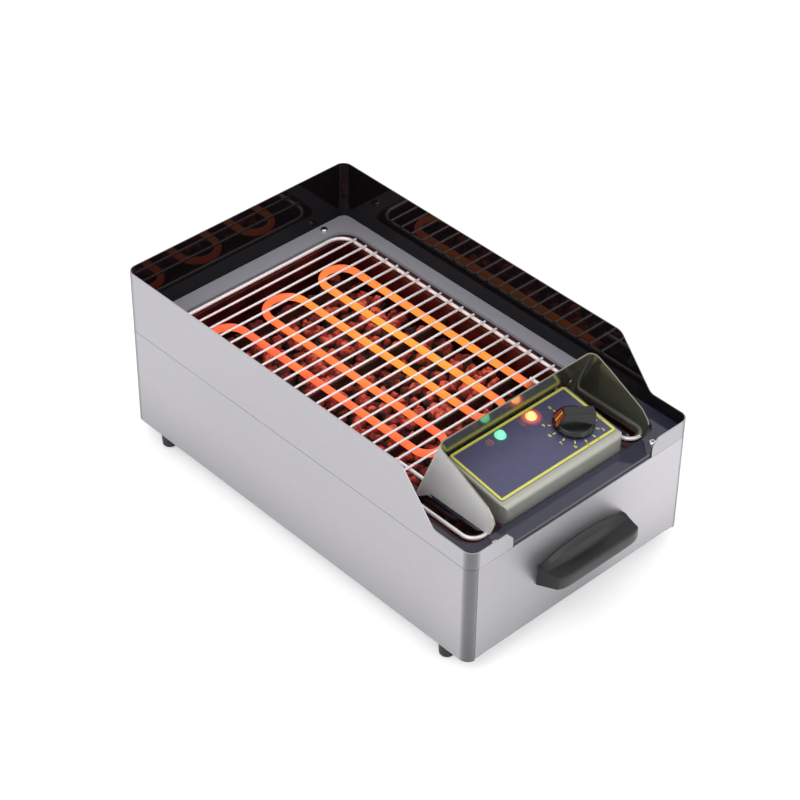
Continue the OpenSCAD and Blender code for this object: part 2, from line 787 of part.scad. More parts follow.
module lamp_holders() {
    color([0.85, 0.82, 0.75]) placed() for (x = lamp_x) on_panel(x, lamp_y)
        translate([0, 0, -label_t - box_wall - 2 - 11]) union() {
            cylinder(d = lamp_d, h = 11);
            for (e = [-2.5, 2.5]) translate([e - 1.5, -0.4, -4]) cube([3, 0.8, 5]);
        }
}

module thermostat_spindle() {
    depth = label_t + box_wall;
    color(wire_steel) placed() on_panel(knob_x, knob_y) difference() {
        translate([0, 0, -depth - 7]) cylinder(r = stem_r, h = depth + 7 + 16);
        rotate([0, 0, knob_turn]) translate([stem_r - 1.4, -5, 5]) cube([5, 10, 20]);
    }
}

// outline of the knob's grip along its length, with the pointer's slope at one end
pointer_low = [knob_d / 2 - 0.4, 3.6];
pointer_high = [knob_d * 0.3, knob_h];
module knob_bar() {
    r = knob_d / 2;
    polygon(rounded([
        [-r + 2, 2, 0], [r - 2, 2, 0], [each pointer_low, 0.4], [each pointer_high, 1.5],
        [-r + 2.5, knob_h, 1.5], [-r + 2, 12, 2]]));
}

// and across it: the sides flare towards the skirt
module knob_grip() {
    polygon(rounded([
        [-10, 2, 0], [10, 2, 0], [9, 8, 3], [6, knob_h, 1.5], [-6, knob_h, 1.5], [-9, 8, 3]]));
}

module control_knob() {
    r = knob_d / 2;
    color(black_plastic) placed() on_panel(knob_x, knob_y) rotate([0, 0, knob_turn])
        difference() {
            union() {
                rotate_extrude() polygon(rounded([
                    [0, 1, 0], [r, 1, 0.5], [r, 4.5, 1], [r - 2.5, 8, 2], [0, 8, 0]]));
                intersection() {
                    rotate([90, 0, 0]) linear_extrude(40, center = true) knob_bar();
                    rotate([90, 0, 90]) linear_extrude(2 * r, center = true) knob_grip();
                    cylinder(r = r - 0.3, h = 60);
                }
            }
            // the bore is a D that keys the knob to its spindle
            difference() {
                translate([0, 0, -1]) cylinder(r = stem_r + slip / 5, h = 17.2);
                translate([stem_r - 1.4 + slip / 5, -5, 5]) cube([5, 10, 20]);
            }
            // hollow under the skirt, clear of the bush's nut
            cylinder(d = 16, h = 4);
            knob_inlay();
        }
}

// inlay in the sloping end of the grip, flush with it
module knob_inlay() {
    t = unit(pointer_high - pointer_low);
    n = [t[1], -t[0]];
    low = pointer_low + 2.5 * t;
    high = pointer_high - 2 * t;
    intersection() {
        rotate([90, 0, 0]) linear_extrude(20, center = true)
            polygon([low, high, high - 0.8 * n, low - 0.8 * n]);
        // narrower towards the top, as the grip is
        rotate([90, 0, 90]) linear_extrude(knob_d) polygon([
            [-8.2, 3], [8.2, 3], [7.4, 8], [4.8, knob_h], [-4.8, knob_h], [-7.4, 8]]);
    }
}

module knob_pointer() {
    color([0.85, 0.25, 0.12]) placed() on_panel(knob_x, knob_y) rotate([0, 0, knob_turn])
        knob_inlay();
}

// ---- grid ----

module grid_frame() {
    inner_x = rail_x - 2 * hairpin_x;
    pin_y = pivot_y + hairpin_x;
    wire_end = bar_first - (bar_count - 2) * bar_pitch + 1.5 + bar_d;
    r = 20;
    color(wire_steel) placed() union() {
        rod_x(-rail_x + r, rail_x - r, grid_back, wire_z, wire_d);
        for (s = [-1, 1]) {
            rod_y(s * rail_x, pin_y, grid_back - r, wire_z, wire_d);
            rod_y(s * inner_x, pin_y, wire_end, wire_z, wire_d);
            bend_z(s * (rail_x - r), grid_back - r, wire_z, r, wire_d, s > 0 ? 0 : 90, 90);
            bend_z(s * (rail_x - hairpin_x), pin_y, wire_z, hairpin_x, wire_d, 180, 180);
        }
    }
}

module grid_bars() {
    color(wire_steel) placed() for (i = [0:bar_count - 1])
        rod_x(-bar_half, bar_half, bar_first - i * bar_pitch, bar_z, bar_d);
}

// ---- drawer ----

module runner(s) {
    color(steel) placed() mirror([s, 0, 0]) translate([0, -in_d + lip + 2, 0]) {
        translate([in_w - sheet, 0, runner_z]) cube([sheet, case_d - 40, 6]);
        for (z = [runner_z, runner_z + 4.8])
            translate([tray_half + 4, 0, z]) cube([in_w - tray_half - 4, case_d - 40, sheet]);
    }
}
module runner_left() { runner(1); }
module runner_right() { runner(0); }

module drawer_front() {
    x1 = mouth - face_gap;
    color(steel) placed() difference() {
        union() {
            translate([-x1, -half_d, face_z0]) cube([2 * x1, sheet, face_top - face_z0]);
            for (s = [-1, 1])
                translate([s > 0 ? x1 - sheet : -x1, -half_d, face_z0])
                    cube([sheet, lip + sheet, case_h - 14 - face_z0]);
            translate([-x1, -half_d, face_z0]) cube([2 * x1, lip + sheet, sheet]);
        }
        for (s = [-1, 1]) translate([s * handle_screw_x, -half_d - 1, handle_screw_z])
            rotate([-90, 0, 0]) cylinder(d = screw_hole, h = 4);
    }
}

module drip_tray() {
    front = half_d - sheet;
    top = tray_z0 + tray_h;
    color(steel) placed() difference() {
        union() {
            translate([-tray_half, -front, tray_z0])
                cube([2 * tray_half, front + tray_back, tray_h]);
            translate([-mouth + face_gap, -front + 2 * lip, top - sheet])
                cube([2 * (mouth - face_gap), front + tray_back - 2 * lip, sheet]);
        }
        translate([0, 0, tray_z0 + sheet]) linear_extrude(tray_h)
            round_rect(-tray_half + sheet, -front + sheet, tray_half - sheet,
                       tray_back - sheet, 6);
    }
}

// The handle is a scoop that is lofted along its length: a humped rear edge that
// is highest in the middle, a shallow hollow in front of it and a blunt nose.
module drawer_handle() {
    stations = 20;
    function hump(u) = 1 - u * u;
    function section(u) =
        let (b = hump(u), nose = handle_out - 3 * pow(abs(u), 14), y = -half_d)
        rounded([
            [y, handle_z, 0], [y, handle_z + 21.5 + 14 * b, 0],
            [y - 1 - 1.5 * b, handle_z + 22 + 14 * b, 0.8],
            [y - 2 - 7.5 * b, handle_z + 22 + 5.5 * b, 0.6],
            [y - 7 - 8 * b, handle_z + 23 - 0.5 * b, 3],
            [y - nose, handle_z + 29.5 - 1.5 * b, 2.5], [y - nose, handle_z + 11, 2.5]], 3);
    rings = [for (i = [0:stations])
        let (u = -1 + 2 * i / stations) [for (p = section(u)) [u * handle_half, p[0], p[1]]]];
    k = len(rings[0]);
    n = (stations + 1) * k;
    caps = [for (x = [-handle_half, handle_half]) [x, -half_d - handle_out / 2, handle_z + 16]];
    faces = concat(
        [for (j = [0:k - 1]) [n, j, (j + 1) % k]],
        [for (j = [0:k - 1]) [n + 1, stations * k + (j + 1) % k, stations * k + j]],
        [for (i = [0:stations - 1], j = [0:k - 1]) each
            [[i * k + j, (i + 1) * k + j, i * k + (j + 1) % k],
             [i * k + (j + 1) % k, (i + 1) * k + j, (i + 1) * k + (j + 1) % k]]]);
    color(black_plastic) placed() difference() {
        polyhedron(concat([for (r = rings) each r], caps), faces);
        for (s = [-1, 1]) translate([s * handle_screw_x, -half_d + 1, handle_screw_z])
            rotate([90, 0, 0]) cylinder(d = screw_d + 2 * slip, h = 13);
    }
}

module handle_screws() {
    color(steel) placed() for (s = [-1, 1])
        translate([s * handle_screw_x, -half_d + sheet, handle_screw_z]) {
            rotate([90, 0, 0]) cylinder(d = screw_d, h = sheet + 11);
            rotate([-90, 0, 0]) cylinder(d = 8, h = 2.6);
        }
}

body_shell();
top_flange();
base_flange();
floor_pan();
foot_front_left();
foot_front_right();
foot_rear_left();
foot_rear_right();
foot_screws();
top_plate();
splash_guard();
guard_screws();
guard_nuts();
fire_tub();
rock_grate();
lava_rocks();
element_supports();
heating_element();
element_glands();
element_pins();
control_shelf();
heat_shield();
shield_rivets();
control_box();
control_panel();
thermostat();
thermostat_bush();
safety_cutout();
terminal_strip();
lamp_green();
lamp_orange();
lamp_holders();
thermostat_spindle();
control_knob();
knob_pointer();
grid_frame();
grid_bars();
runner_left();
runner_right();
drawer_front();
drip_tray();
drawer_handle();
handle_screws();
cable_gland();
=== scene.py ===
"""Visual model of an electric lava-rock table grill, built round its CAD frame."""
import json
import math

import bpy
import numpy as np
from bpy.props import FloatProperty, FloatVectorProperty, PointerProperty
from mathutils import Matrix, Vector


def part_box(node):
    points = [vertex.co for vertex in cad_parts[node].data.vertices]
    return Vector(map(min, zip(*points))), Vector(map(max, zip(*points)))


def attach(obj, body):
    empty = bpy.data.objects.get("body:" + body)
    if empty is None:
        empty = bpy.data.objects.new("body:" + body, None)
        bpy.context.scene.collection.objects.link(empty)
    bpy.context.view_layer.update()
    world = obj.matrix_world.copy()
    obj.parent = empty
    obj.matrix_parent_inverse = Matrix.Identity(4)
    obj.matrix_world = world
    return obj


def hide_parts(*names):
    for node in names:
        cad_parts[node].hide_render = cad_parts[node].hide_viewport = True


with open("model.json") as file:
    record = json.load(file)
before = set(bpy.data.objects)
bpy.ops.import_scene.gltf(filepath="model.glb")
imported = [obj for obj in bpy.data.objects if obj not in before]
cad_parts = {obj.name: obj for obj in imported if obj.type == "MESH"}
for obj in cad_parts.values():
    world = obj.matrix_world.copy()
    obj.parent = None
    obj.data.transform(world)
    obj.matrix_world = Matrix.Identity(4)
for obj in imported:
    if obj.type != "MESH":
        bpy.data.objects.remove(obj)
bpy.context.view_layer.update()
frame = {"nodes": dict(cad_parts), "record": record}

bl_info = {
    "name": "Table Grill",
    "version": (1, 0, 0),
    "blender": (4, 5, 0),
    "location": "View3D > Sidebar > Table Grill",
    "description": "Stones, print, trim and finishes of a lava-rock table grill",
    "category": "Object",
}

MM = 0.001


# ---- places taken from the frame ----

def corners(node):
    """Lowest and highest corner of a node, as arrays in metres."""
    low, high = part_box(node)
    return np.array(low), np.array(high)


def joint(name):
    """The record's joint of that name."""
    return next(j for j in frame["record"]["behaviour"]["joints"] if j["name"] == name)


KNOB = joint("knob_turn")
PANEL_ORIGIN = np.array(KNOB["pos_m"])
PANEL_NORMAL = np.array(KNOB["axis"]) / np.linalg.norm(KNOB["axis"])
PANEL_ACROSS = np.array([1.0, 0.0, 0.0])
PANEL_UP = np.cross(PANEL_NORMAL, PANEL_ACROSS)
POINTER_ANGLE = math.radians(147)  # where the knob points at rest, from across the panel

SHEET = 1.2 * MM
GUARD_RADIUS = 12 * MM  # outer radius of the guard's upright bends
GUARD_GAUGE = 115 * MM  # sideways place of the two front guard screws
SCREW_HEAD_RADIUS = 4.4 * MM
RECESS_REACH = 2.1 * MM

ELEMENT_HALF = 110 * MM  # half the width over which the glow changes
ELEMENT_OUTER_LEG = 85 * MM  # the outer legs lie farther from the middle than this
COLD_END = -118 * MM  # the inner legs glow behind this place
COLD_END_OUTER = 40 * MM  # and the outer legs this much farther back
COLD_FADE = 12 * MM
STONES_SHOWN = 13 * MM  # depth of the bed over which painted shade fades the stones to dark

PRINT_HEIGHT = 0.06 * MM
BORDER_INSET = 1.8 * MM
BORDER_WIDTH = 3.1 * MM
BORDER_RADIUS = 1.6 * MM
DIAL_OFF = 95.0  # direction of the dial's 0, in degrees
DIAL_TOP = 9  # the dial's highest number
DIAL_STEP = 27.2
TICK_ENDS = (23.6 * MM, 27.4 * MM)
TICK_WIDTH = 1.6 * MM
NUMBER_REACH = 31.6 * MM
NUMBER_SIZE = 5.6 * MM
NUMBER_BOLD = 0.14 * MM

STONE_RINGS, STONE_SIDES = 10, 15

# grain lines to the metre along each axis: level on the case, down the slope on the box
STRETCH_LEVEL = (60, 60, 2600)
STRETCH_DOWN = (1600, 60, 60)


def on_panel(u, v, height=0.0):
    """Points at u across and v up the printed panel from the knob's centre, raised by height."""
    u, v, height = (np.asarray(a, float)[..., None] for a in (u, v, height))
    return PANEL_ORIGIN + u * PANEL_ACROSS + v * PANEL_UP + height * PANEL_NORMAL


def panel_place(point):
    """The u and v on the panel of a point in space."""
    d = np.asarray(point) - PANEL_ORIGIN
    return np.array([d @ PANEL_ACROSS, d @ PANEL_UP])


# ---- meshes ----

def mesh_object(name, verts, faces, smooth=True):
    """An object made of an array of points and a list of faces."""
    mesh = bpy.data.meshes.new(name)
    mesh.from_pydata(np.asarray(verts).tolist(), [], [list(f) for f in faces])
    mesh.update()
    mesh.polygons.foreach_set("use_smooth", [smooth] * len(mesh.polygons))
    obj = bpy.data.objects.new(name, mesh)
    bpy.context.scene.collection.objects.link(obj)
    return obj


def grid_faces(rows, cols, wrap_rows=False, wrap_cols=False):
    """Quads over a grid of rows x cols points, closed round either way if asked."""
    i = np.arange(rows if wrap_rows else rows - 1)
    j = np.arange(cols if wrap_cols else cols - 1)
    i, j = (a.ravel() for a in np.meshgrid(i, j, indexing="ij"))
    i2, j2 = (i + 1) % rows, (j + 1) % cols
    quads = np.stack([i * cols + j, i2 * cols + j, i2 * cols + j2, i * cols + j2], 1)
    return quads.tolist()


def end_caps(rows, cols):
    """The two faces that close a tube of rows x cols points."""
    last = (rows - 1) * cols
    return [list(range(cols)), [last + k for k in reversed(range(cols))]]


def joined(parts):
    """One set of points and faces from several."""
    verts, faces, start = [], [], 0
    for v, f in parts:
        verts.append(np.asarray(v).reshape(-1, 3))
        faces += [[n + start for n in face] for face in f]
        start += len(verts[-1])
    return np.concatenate(verts), faces


def finish_piece(obj, material, body):
    """Gives a new piece its material and its body."""
    obj.data.materials.clear()
    obj.data.materials.append(material)
    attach(obj, body)
    return obj


def clean_normals(obj):
    """Merges doubles and turns every face outwards."""
    bpy.context.view_layer.objects.active = obj
    bpy.ops.object.select_all(action="DESELECT")
    obj.select_set(True)
    bpy.ops.object.mode_set(mode="EDIT")
    bpy.ops.mesh.select_all(action="SELECT")
    bpy.ops.mesh.remove_doubles(threshold=1e-6)
    bpy.ops.mesh.normals_make_consistent(inside=False)
    bpy.ops.object.mode_set(mode="OBJECT")


# ---- shader nodes ----

def math_node(tree, operation, *values):
    """A math node's result, from numbers or sockets."""
    node = tree.nodes.new("ShaderNodeMath")
    node.operation = operation
    for socket, value in zip(node.inputs, values):
        if isinstance(value, (int, float)):
            socket.default_value = value
        else:
            tree.links.new(value, socket)
    return node.outputs[0]


def tint(tree, colour, factor):
    """A colour, or a colour's socket, multiplied by a factor that changes over the surface."""
    scale = tree.nodes.new("ShaderNodeVectorMath")
    scale.operation = "SCALE"
    if isinstance(colour, bpy.types.NodeSocket):
        tree.links.new(colour, scale.inputs[0])
    else:
        scale.inputs[0].default_value = colour
    tree.links.new(factor, scale.inputs["Scale"])
    return scale.outputs[0]


def object_axes(tree, output):
    """The three parts of the object coordinates or of the normal."""
    coord = tree.nodes.new("ShaderNodeTexCoord")
    parts = tree.nodes.new("ShaderNodeSeparateXYZ")
    tree.links.new(coord.outputs[output], parts.inputs[0])
    return parts.outputs


def ramp_of(tree, value, low, high, stops):
    """Grey levels at equal steps over a value's range, smoothly joined."""
    fit = tree.nodes.new("ShaderNodeMapRange")
    fit.inputs["From Min"].default_value = low
    fit.inputs["From Max"].default_value = high
    tree.links.new(value, fit.inputs["Value"])
    curve = tree.nodes.new("ShaderNodeFloatCurve")
    points = curve.mapping.curves[0].points
    while len(points) < len(stops):
        points.new(0.5, 0.5)
    for k, level in enumerate(stops):
        points[k].location = (k / (len(stops) - 1), level)
    curve.mapping.update()
    tree.links.new(fit.outputs["Result"], curve.inputs["Value"])
    return curve.outputs[0]


def mix_node(tree, factor, low, high, kind="FLOAT"):
    """A blend by factor from low to high, which are numbers, colours or sockets."""
    node = tree.nodes.new("ShaderNodeMix")
    node.data_type = kind
    tree.links.new(factor, node.inputs["Factor"])
    for key, value in (("A", low), ("B", high)):
        if isinstance(value, bpy.types.NodeSocket):
            tree.links.new(value, node.inputs[key])
        else:
            node.inputs[key].default_value = value
    return node.outputs["Result"]


def colour_ramp(tree, factor, *stops):
    """The colour that stands for a factor between stops of a position and a colour."""
    ramp = tree.nodes.new("ShaderNodeValToRGB")
    elements = ramp.color_ramp.elements
    while len(elements) < len(stops):
        elements.new(1.0)
    for element, (position, colour) in zip(elements, stops):
        element.position = position
        element.color = (*colour, 1)
    tree.links.new(factor, ramp.inputs["Fac"])
    return ramp.outputs["Color"]


def add_relief(tree, shader, height, distance, strength=1.0):
    """Bumps the surface by a height that stands for so many metres."""
    bump = tree.nodes.new("ShaderNodeBump")
    bump.inputs["Strength"].default_value = strength
    bump.inputs["Distance"].default_value = distance
    tree.links.new(height, bump.inputs["Height"])
    tree.links.new(bump.outputs["Normal"], shader.inputs["Normal"])


def looked_at(tree):
    """One where the camera, a reflection or glass looks, and otherwise nought."""
    path = tree.nodes.new("ShaderNodeLightPath")
    seen = math_node(tree, "MAXIMUM", path.outputs["Is Camera Ray"], path.outputs["Is Glossy Ray"])
    return math_node(tree, "MAXIMUM", seen, path.outputs["Is Transmission Ray"])


# ---- shader groups ----

def new_group(name, inputs, outputs):
    """A shader node group with float or vector inputs, and outputs of the given kinds."""
    tree = bpy.data.node_groups.new(name, "ShaderNodeTree")
    for label, kind, default in inputs:
        socket = tree.interface.new_socket(label, in_out="INPUT", socket_type=kind)
        socket.default_value = default
    for label, kind in outputs:
        tree.interface.new_socket(label, in_out="OUTPUT", socket_type=kind)
    return tree, tree.nodes.new("NodeGroupInput"), tree.nodes.new("NodeGroupOutput")


def brushed_group():
    """Fine grain drawn out along one axis: noise on coordinates stretched by Stretch."""
    tree, inp, out = new_group(
        "brushed_grain",
        [("Stretch", "NodeSocketVector", (1, 1, 1)), ("Amount", "NodeSocketFloat", 0.2)],
        [("Grain", "NodeSocketFloat"), ("Shade", "NodeSocketFloat")])
    link = tree.links.new
    coord = tree.nodes.new("ShaderNodeTexCoord")
    scale = tree.nodes.new("ShaderNodeVectorMath")
    scale.operation = "MULTIPLY"
    link(coord.outputs["Object"], scale.inputs[0])
    link(inp.outputs["Stretch"], scale.inputs[1])
    noise = tree.nodes.new("ShaderNodeTexNoise")
    noise.inputs["Scale"].default_value = 1.0
    noise.inputs["Detail"].default_value = 3.0
    link(scale.outputs[0], noise.inputs["Vector"])
    centred = math_node(tree, "SUBTRACT", noise.outputs["Fac"], 0.5)
    link(noise.outputs["Fac"], out.inputs["Grain"])
    link(math_node(tree, "MULTIPLY_ADD", centred, inp.outputs["Amount"], 1.0), out.inputs["Shade"])
    return tree


def mottle_group():
    """Soft wandering patches between Low and High, for handling marks and uneven heat."""
    tree, inp, out = new_group(
        "soft_mottle",
        [("Scale", "NodeSocketFloat", 20.0), ("Low", "NodeSocketFloat", 0.0),
         ("High", "NodeSocketFloat", 1.0)],
        [("Value", "NodeSocketFloat")])
    link = tree.links.new
    coord = tree.nodes.new("ShaderNodeTexCoord")
    noise = tree.nodes.new("ShaderNodeTexNoise")
    noise.inputs["Detail"].default_value = 4.0
    link(coord.outputs["Object"], noise.inputs["Vector"])
    link(inp.outputs["Scale"], noise.inputs["Scale"])
    fit = tree.nodes.new("ShaderNodeMapRange")
    fit.inputs["From Min"].default_value = 0.3
    fit.inputs["From Max"].default_value = 0.7
    link(noise.outputs["Fac"], fit.inputs["Value"])
    link(inp.outputs["Low"], fit.inputs["To Min"])
    link(inp.outputs["High"], fit.inputs["To Max"])
    link(fit.outputs["Result"], out.inputs["Value"])
    return tree


GROUPS = {}


def place_group(tree, maker, **values):
    """Places a shared group in a material with its own values."""
    if maker.__name__ not in GROUPS:
        GROUPS[maker.__name__] = maker()
    node = tree.nodes.new("ShaderNodeGroup")
    node.node_tree = GROUPS[maker.__name__]
    for key, value in values.items():
        node.inputs[key].default_value = value
    return node


# ---- materials ----

def new_material(name, **values):
    """A Principled material with values set directly on the shader's sockets."""
    material = bpy.data.materials.new(name)
    material.use_nodes = True
    shader = material.node_tree.nodes["Principled BSDF"]
    for key, value in values.items():
        socket = shader.inputs[key.replace("_", " ")]
        socket.default_value = (*value, 1) if hasattr(value, "__len__") else value
    return material, material.node_tree, shader


def shade_by(material, factor):
    """Multiplies a material's base colour by a factor."""
    tree = material.node_tree
    base = tree.nodes["Principled BSDF"].inputs["Base Color"]
    tree.links.new(tint(tree, base.links[0].from_socket, factor), base)


def brushed_steel(name, colour, stretch, rough=0.32, amount=0.2, bump=0.0006, metallic=1.0):
    """Metal with drawn-out grain in its shade, gloss and relief."""
    material, tree, shader = new_material(name, Metallic=metallic, Roughness=rough)
    grain = place_group(tree, brushed_group, Stretch=stretch, Amount=amount)
    tree.links.new(tint(tree, colour, grain.outputs["Shade"]), shader.inputs["Base Color"])
    patches = place_group(tree, mottle_group, Scale=9.0, Low=rough - 0.03, High=rough + 0.04)
    tree.links.new(patches.outputs["Value"], shader.inputs["Roughness"])
    add_relief(tree, shader, grain.outputs["Grain"], bump, 0.25)
    return material


def polished(name, colour, low, high, metallic=1.0, scale=14.0, **values):
    """A smooth finish whose gloss wanders a little between low and high."""
    material, tree, shader = new_material(name, Metallic=metallic, **values)
    shader.inputs["Base Color"].default_value = (*colour, 1)
    patches = place_group(tree, mottle_group, Scale=scale, Low=low, High=high)
    tree.links.new(patches.outputs["Value"], shader.inputs["Roughness"])
    return material


def speckled(name, colour, low, high, scale, rough, metallic=0.0, bump=0.0, **values):
    """A finish whose shade wanders between low and high times its colour."""
    material, tree, shader = new_material(name, Metallic=metallic, Roughness=rough, **values)
    patches = place_group(tree, mottle_group, Scale=scale, Low=low, High=high)
    tree.links.new(tint(tree, colour, patches.outputs["Value"]), shader.inputs["Base Color"])
    if bump:
        add_relief(tree, shader, patches.outputs["Value"], bump)
    return material


def folded_steel(name, settings):
    """Brushed sheet with painted light: a painted dark reflection round its upright bends and
    painted shade a little towards its foot.
    """
    material = brushed_steel(name, settings.steel, STRETCH_LEVEL, 0.34)
    tree = material.node_tree
    # painted dark reflection: the sheet is darker where its normal turns round an upright bend
    turn = object_axes(tree, "Normal")
    both = math_node(tree, "ABSOLUTE", math_node(tree, "MULTIPLY", turn[0], turn[1]))
    shade_by(material, ramp_of(tree, both, 0.0, 0.5, (1.0, 0.62, 0.44, 0.36)))
    # painted shade: a little darker towards the foot, near the floor
    height = object_axes(tree, "Object")[2]
    shade_by(material, ramp_of(tree, height, 0.02, 0.09, (0.80, 0.93, 1.0)))
    return material


def drawer_steel(settings):
    """Brushed sheet with folded_steel's painted shade, and a painted sheen that is dull in the
    middle and bright to the right.
    """
    material = folded_steel("drawer_steel", settings)
    tree = material.node_tree
    # painted reflection across the drawer front, lifted by a fifth overall
    sheen = ramp_of(tree, object_axes(tree, "Object")[0], -0.16, 0.16,
                    (0.80, 0.76, 0.68, 0.94, 1.0))
    shade_by(material, math_node(tree, "MULTIPLY", sheen, 1.2))
    return material


def guard_finish(settings):
    """Brushed steel outside and on the cut edges, gloss black enamel on the inner faces:
    inside is where a point lies within the guard's rounded outline less half a sheet."""
    # the brushed steel outside keeps folded_steel's painted dark reflection on the bends and painted
    # shade towards the foot
    material = folded_steel("guard_steel", settings)
    tree = material.node_tree
    link = tree.links.new
    shader = tree.nodes["Principled BSDF"]
    place = object_axes(tree, "Object")
    low, high = corners("splash_guard")
    middle = (low + high) / 2
    past = []
    for axis in (0, 1):
        offset = math_node(tree, "SUBTRACT", place[axis], float(middle[axis]))
        away = math_node(tree, "ABSOLUTE", offset)
        reach = float((high - low)[axis] / 2 - GUARD_RADIUS)
        past.append(math_node(tree, "MAXIMUM", math_node(tree, "SUBTRACT", away, reach), 0.0))
    squares = [math_node(tree, "MULTIPLY", value, value) for value in past]
    distance = math_node(tree, "SQRT", math_node(tree, "ADD", *squares))
    inside = math_node(tree, "LESS_THAN", distance, GUARD_RADIUS - 0.5 * SHEET)
    tilt = math_node(tree, "ABSOLUTE", object_axes(tree, "Normal")[2])
    upright = math_node(tree, "LESS_THAN", tilt, 0.5)
    mask = math_node(tree, "MULTIPLY", inside, upright)
    steel = math_node(tree, "SUBTRACT", 1, mask)
    colour = shader.inputs["Base Color"]
    rough = shader.inputs["Roughness"]
    enamel = (*settings.enamel, 1)
    link(mix_node(tree, mask, colour.links[0].from_socket, enamel, "RGBA"), colour)
    link(mix_node(tree, mask, rough.links[0].from_socket, 0.03), rough)
    link(steel, shader.inputs["Metallic"])
    # the enamel mirrors little but the hot bed, and has no grain
    shader.inputs["Specular IOR Level"].default_value = 0.22
    link(steel, tree.nodes["Bump"].inputs["Strength"])
    tree.nodes["Bump"].inputs["Distance"].default_value = 0.15 * MM
    return material


def plate_finish(settings):
    """Gloss black enamel with a painted reflection: a pale blue-grey sheen painted at the back that
    fades to the shelf's near-black under the control head.
    """
    material, tree, shader = new_material("plate_enamel", IOR=1.5)
    patches = place_group(tree, mottle_group, Scale=14.0, Low=0.07, High=0.12)
    tree.links.new(patches.outputs["Value"], shader.inputs["Roughness"])
    # painted reflection: the blue-grey sheen fades out towards the control head
    along = ramp_of(tree, object_axes(tree, "Object")[1], -0.25, -0.10, (0.0, 0.1, 0.6, 1.0))
    colour = mix_node(tree, along, (*settings.enamel_top, 1), (*settings.plate, 1), "RGBA")
    tree.links.new(colour, shader.inputs["Base Color"])
    return material


def shield_finish():
    """Satin on the faces turned away from the control box, near mirror on those turned to it, as lit
    and shaded copies of one steel: painted light in the near-white of the outer faces and a painted
    dark reflection in the olive of the inner ones.
    """
    material, tree, shader = new_material("shield_steel")
    place = object_axes(tree, "Object")
    turn = object_axes(tree, "Normal")
    side = math_node(tree, "MULTIPLY", math_node(tree, "SIGN", place[0]), turn[0])
    outer = math_node(tree, "GREATER_THAN", math_node(tree, "MAXIMUM", side, turn[1]), 0.5)
    # the gloss differs between the faces; their two base colours are painted light and painted
    # reflection
    for key, towards, away, kind in (
            ("Metallic", 0.85, 0.3, "FLOAT"), ("Roughness", 0.13, 0.45, "FLOAT"),
            ("Base Color", (0.27, 0.27, 0.21, 1), (0.93, 0.92, 0.91, 1), "RGBA")):
        tree.links.new(mix_node(tree, outer, towards, away, kind), shader.inputs[key])
    patches = place_group(tree, mottle_group, Scale=20.0, Low=0.94, High=1.05)
    shade_by(material, patches.outputs["Value"])
    return material


def element_finish(settings):
    """A glowing sheath: redder to the left and round the bends, yellower in the middle of
    its right-hand runs, and dark at the cold ends under the control head."""
    material, tree, shader = new_material("glowing_sheath", Roughness=0.6,
                                          Base_Color=(0.05, 0.02, 0.02))
    place = object_axes(tree, "Object")
    low, high = corners("heating_element")
    rise = ramp_of(tree, place[0], -ELEMENT_HALF, ELEMENT_HALF, (0.0, 0.2, 0.5, 0.85, 0.55))
    along = ramp_of(tree, place[1], float(low[1]), float(high[1]), (0.1, 0.35, 1.0, 0.9, 0.0))
    patches = place_group(tree, mottle_group, Scale=26.0, Low=-0.12, High=0.12)
    glow_level = math_node(tree, "MULTIPLY_ADD", rise, along, patches.outputs["Value"])
    colour = colour_ramp(tree, glow_level, (0.0, settings.glow_low), (1.0, settings.glow_high))
    # the outer legs go cold before the others turn back
    aside = math_node(tree, "ABSOLUTE", place[0])
    outer = math_node(tree, "GREATER_THAN", aside, ELEMENT_OUTER_LEG)
    reach = math_node(tree, "MULTIPLY_ADD", outer, COLD_END_OUTER, COLD_END)
    past = math_node(tree, "SUBTRACT", place[1], reach)
    lit = ramp_of(tree, past, -COLD_FADE, 0.0, (0.0, 1.0))
    tree.links.new(tint(tree, colour, lit), shader.inputs["Emission Color"])
    shader.inputs["Emission Strength"].default_value = settings.glow
    return material


def rock_finish(settings):
    """Porous stone with a painted dull red glow from the element, in its colour and emission: shade
    from stone to stone, with facets and pits, and painted shade that darkens it with depth and at
    the ends of the bed."""
    material, tree, shader = new_material("lava_stone", Roughness=0.8)
    coord = tree.nodes.new("ShaderNodeTexCoord")
    facets = tree.nodes.new("ShaderNodeTexVoronoi")
    facets.inputs["Scale"].default_value = 190.0
    tree.links.new(coord.outputs["Object"], facets.inputs["Vector"])
    fine = place_group(tree, mottle_group, Scale=420.0, Low=0.72, High=1.12)
    patches = place_group(tree, mottle_group, Scale=48.0, Low=0.15, High=1.0)
    chips = math_node(tree, "MULTIPLY_ADD", facets.outputs["Distance"], 0.9, 0.35)
    # painted shade: the stones darken with depth below the top of the bed
    top = float(corners("lava_rocks")[1][2])
    place = object_axes(tree, "Object")
    depth = ramp_of(tree, place[2], top - STONES_SHOWN, top, (0.0, 0.12, 0.55, 1.0))
    # painted light from the element, falling off towards the front under the control head and
    # towards the back end
    glow_level = ramp_of(tree, place[1], -0.15, 0.21, (0.1, 0.3, 1.0, 1.0, 1.0, 1.0, 1.0, 0.9, 0.35))
    shade = chips
    for factor in (patches.outputs["Value"], fine.outputs["Value"], depth, glow_level, 1.35):
        shade = math_node(tree, "MULTIPLY", shade, factor)
    # the red of this ramp and the emission are the element's light painted on the stones: painted
    # glow
    colour = colour_ramp(tree, shade, (0.06, (0.010, 0.003, 0.002)),
                         (0.35, (0.21, 0.016, 0.010)), (0.75, settings.stone))
    tree.links.new(colour, shader.inputs["Base Color"])
    tree.links.new(colour, shader.inputs["Emission Color"])
    shader.inputs["Emission Strength"].default_value = 0.3
    add_relief(tree, shader, chips, 1.6 * MM)
    return material


